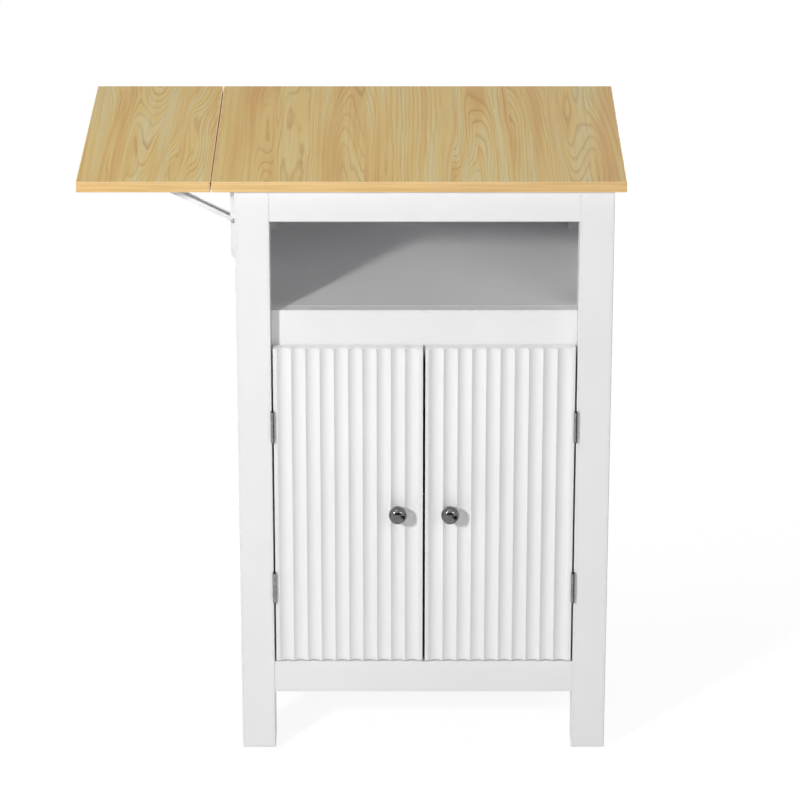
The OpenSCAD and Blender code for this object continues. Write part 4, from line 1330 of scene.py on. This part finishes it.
catchEases = {
    "catch_housings": 0.5 * mm,
    "catch_magnets": 0.3 * mm,
    "strike_plate_left": 0.2 * mm,
    "strike_plate_right": 0.2 * mm,
}
for node, ease in catchEases.items():
    dressedCopy(node, ease)
print("catches built")

# Folding brackets: pressed steel channels, powder coated, on domed rivets

bracketEases = {
    "wall_arm": 0.35 * mm,
    "leaf_arm": 0.35 * mm,
    "strut": 0.35 * mm,
    "latch_lever": 0.25 * mm,
}
for place in ("front", "back"):
    for part, ease in bracketEases.items():
        dressedCopy(f"{part}_{place}", ease)

rivetLook = {
    "shank": 2 * mm,
    "rise": 1.8 * mm,
    # the head's flat crown in radii, and its shoulder in heights from the crown
    "crown": 0.55,
    "shoulder": 0.75,
    "crownRound": 0.6 * mm,
    "shoulderRound": 0.5 * mm,
    "edgeRound": 0.1 * mm,
}


def rivetOutline(length, radius):
    # a shank between two domed heads
    rise = rivetLook["rise"]
    return alikeEnds([
        (0, 0, 0), (radius * rivetLook["crown"], 0, rivetLook["crownRound"]),
        (radius, rise * rivetLook["shoulder"], rivetLook["shoulderRound"]),
        (radius, rise, rivetLook["edgeRound"]), (rivetLook["shank"], rise, 0),
    ], length)


turnedPiece("arm_rivets", rivetOutline, axis=1)
turnedPiece("strut_rivets", rivetOutline, axis=1)

# Straight pins, each with the rounding of its ends

pinRounds = {
    "slide_pin_front": 0.4 * mm,
    "slide_pin_back": 0.4 * mm,
    "latch_pins": 0.3 * mm,
    "shelf_pins": 0.8 * mm,
    "dowels": 0.9 * mm,
    "cam_bolts": 0.5 * mm,
}


def pinOutlineOf(rounding):
    # a straight side between two flat ends, with the same rounding at both
    return lambda length, radius: alikeEnds([(0, 0, 0), (radius, 0, rounding)], length)


for node, rounding in pinRounds.items():
    turnedPiece(node, pinOutlineOf(rounding))
print("brackets and pins built")

# Feet: a button with a rounded rim under each leg, on a nail

footLook = {
    "lip": 1.4 * mm,
    "height": 4 * mm,
    "topRound": 0.4 * mm,
    "nail": 1.2 * mm,
    "nailPoint": 2 * mm,
    "turns": 48,
}


def footOutline(length, radius):
    # out under the button, up round its rim, in to the nail and up to its point
    tall = footLook["height"]
    nail = footLook["nail"]
    return filleted([
        (0, 0, 0), (radius, 0, footLook["lip"]), (radius, tall, footLook["topRound"]),
        (nail, tall, 0), (nail, length - footLook["nailPoint"], 0), (0, length, 0),
    ])


turnedPiece("foot_glides", footOutline, axis=2, turns=footLook["turns"])

# Cam locks: die-cast drums with a cross slot in the rear face, which is sunk a little. That is
# the outer face on the back rails, and the inner one on the front rails.

camLook = {
    "edge": 0.4 * mm,
    "rim": 0.5 * mm,
    "rimShare": 0.94,
    "faceShare": 0.93,
    "faceDip": 0.25 * mm,
    "faceRows": 18,
    "slotLong": 5.2 * mm,
    "slotWide": 0.9 * mm,
    "slotDeep": 1.6 * mm,
    "slotSoft": 0.3 * mm,
    "turns": 48,
}


def camOutline(length, radius):
    # up the drum's side, over its rim, and in across the sunken face
    drum = filleted([
        (0, 0, 0), (radius, 0, camLook["edge"]), (radius, length, camLook["rim"]),
        (radius * camLook["rimShare"], length, 0),
    ])
    rows = np.linspace(radius * camLook["faceShare"], 0, camLook["faceRows"])
    face = np.stack([rows, np.full(len(rows), length - camLook["faceDip"])], 1)
    return np.concatenate([drum, face])


def camSlot(length):
    # the slot lowers only the points of the face and of the rim beside it
    def carve(across, over, height):
        bars = crossBars(
            across, over, camLook["slotLong"], camLook["slotWide"], camLook["slotSoft"])
        onFace = height > length - 2 * camLook["faceDip"]
        return height - np.where(onFace, bars * camLook["slotDeep"], 0)

    return carve


turnedPiece("cam_locks", camOutline, axis=1, turns=camLook["turns"], carveOf=camSlot)

# Angle brackets under the worktop

topAngleEase = 0.3 * mm
dressedCopy("top_angles", topAngleEase)
print("feet, locks and angles built")
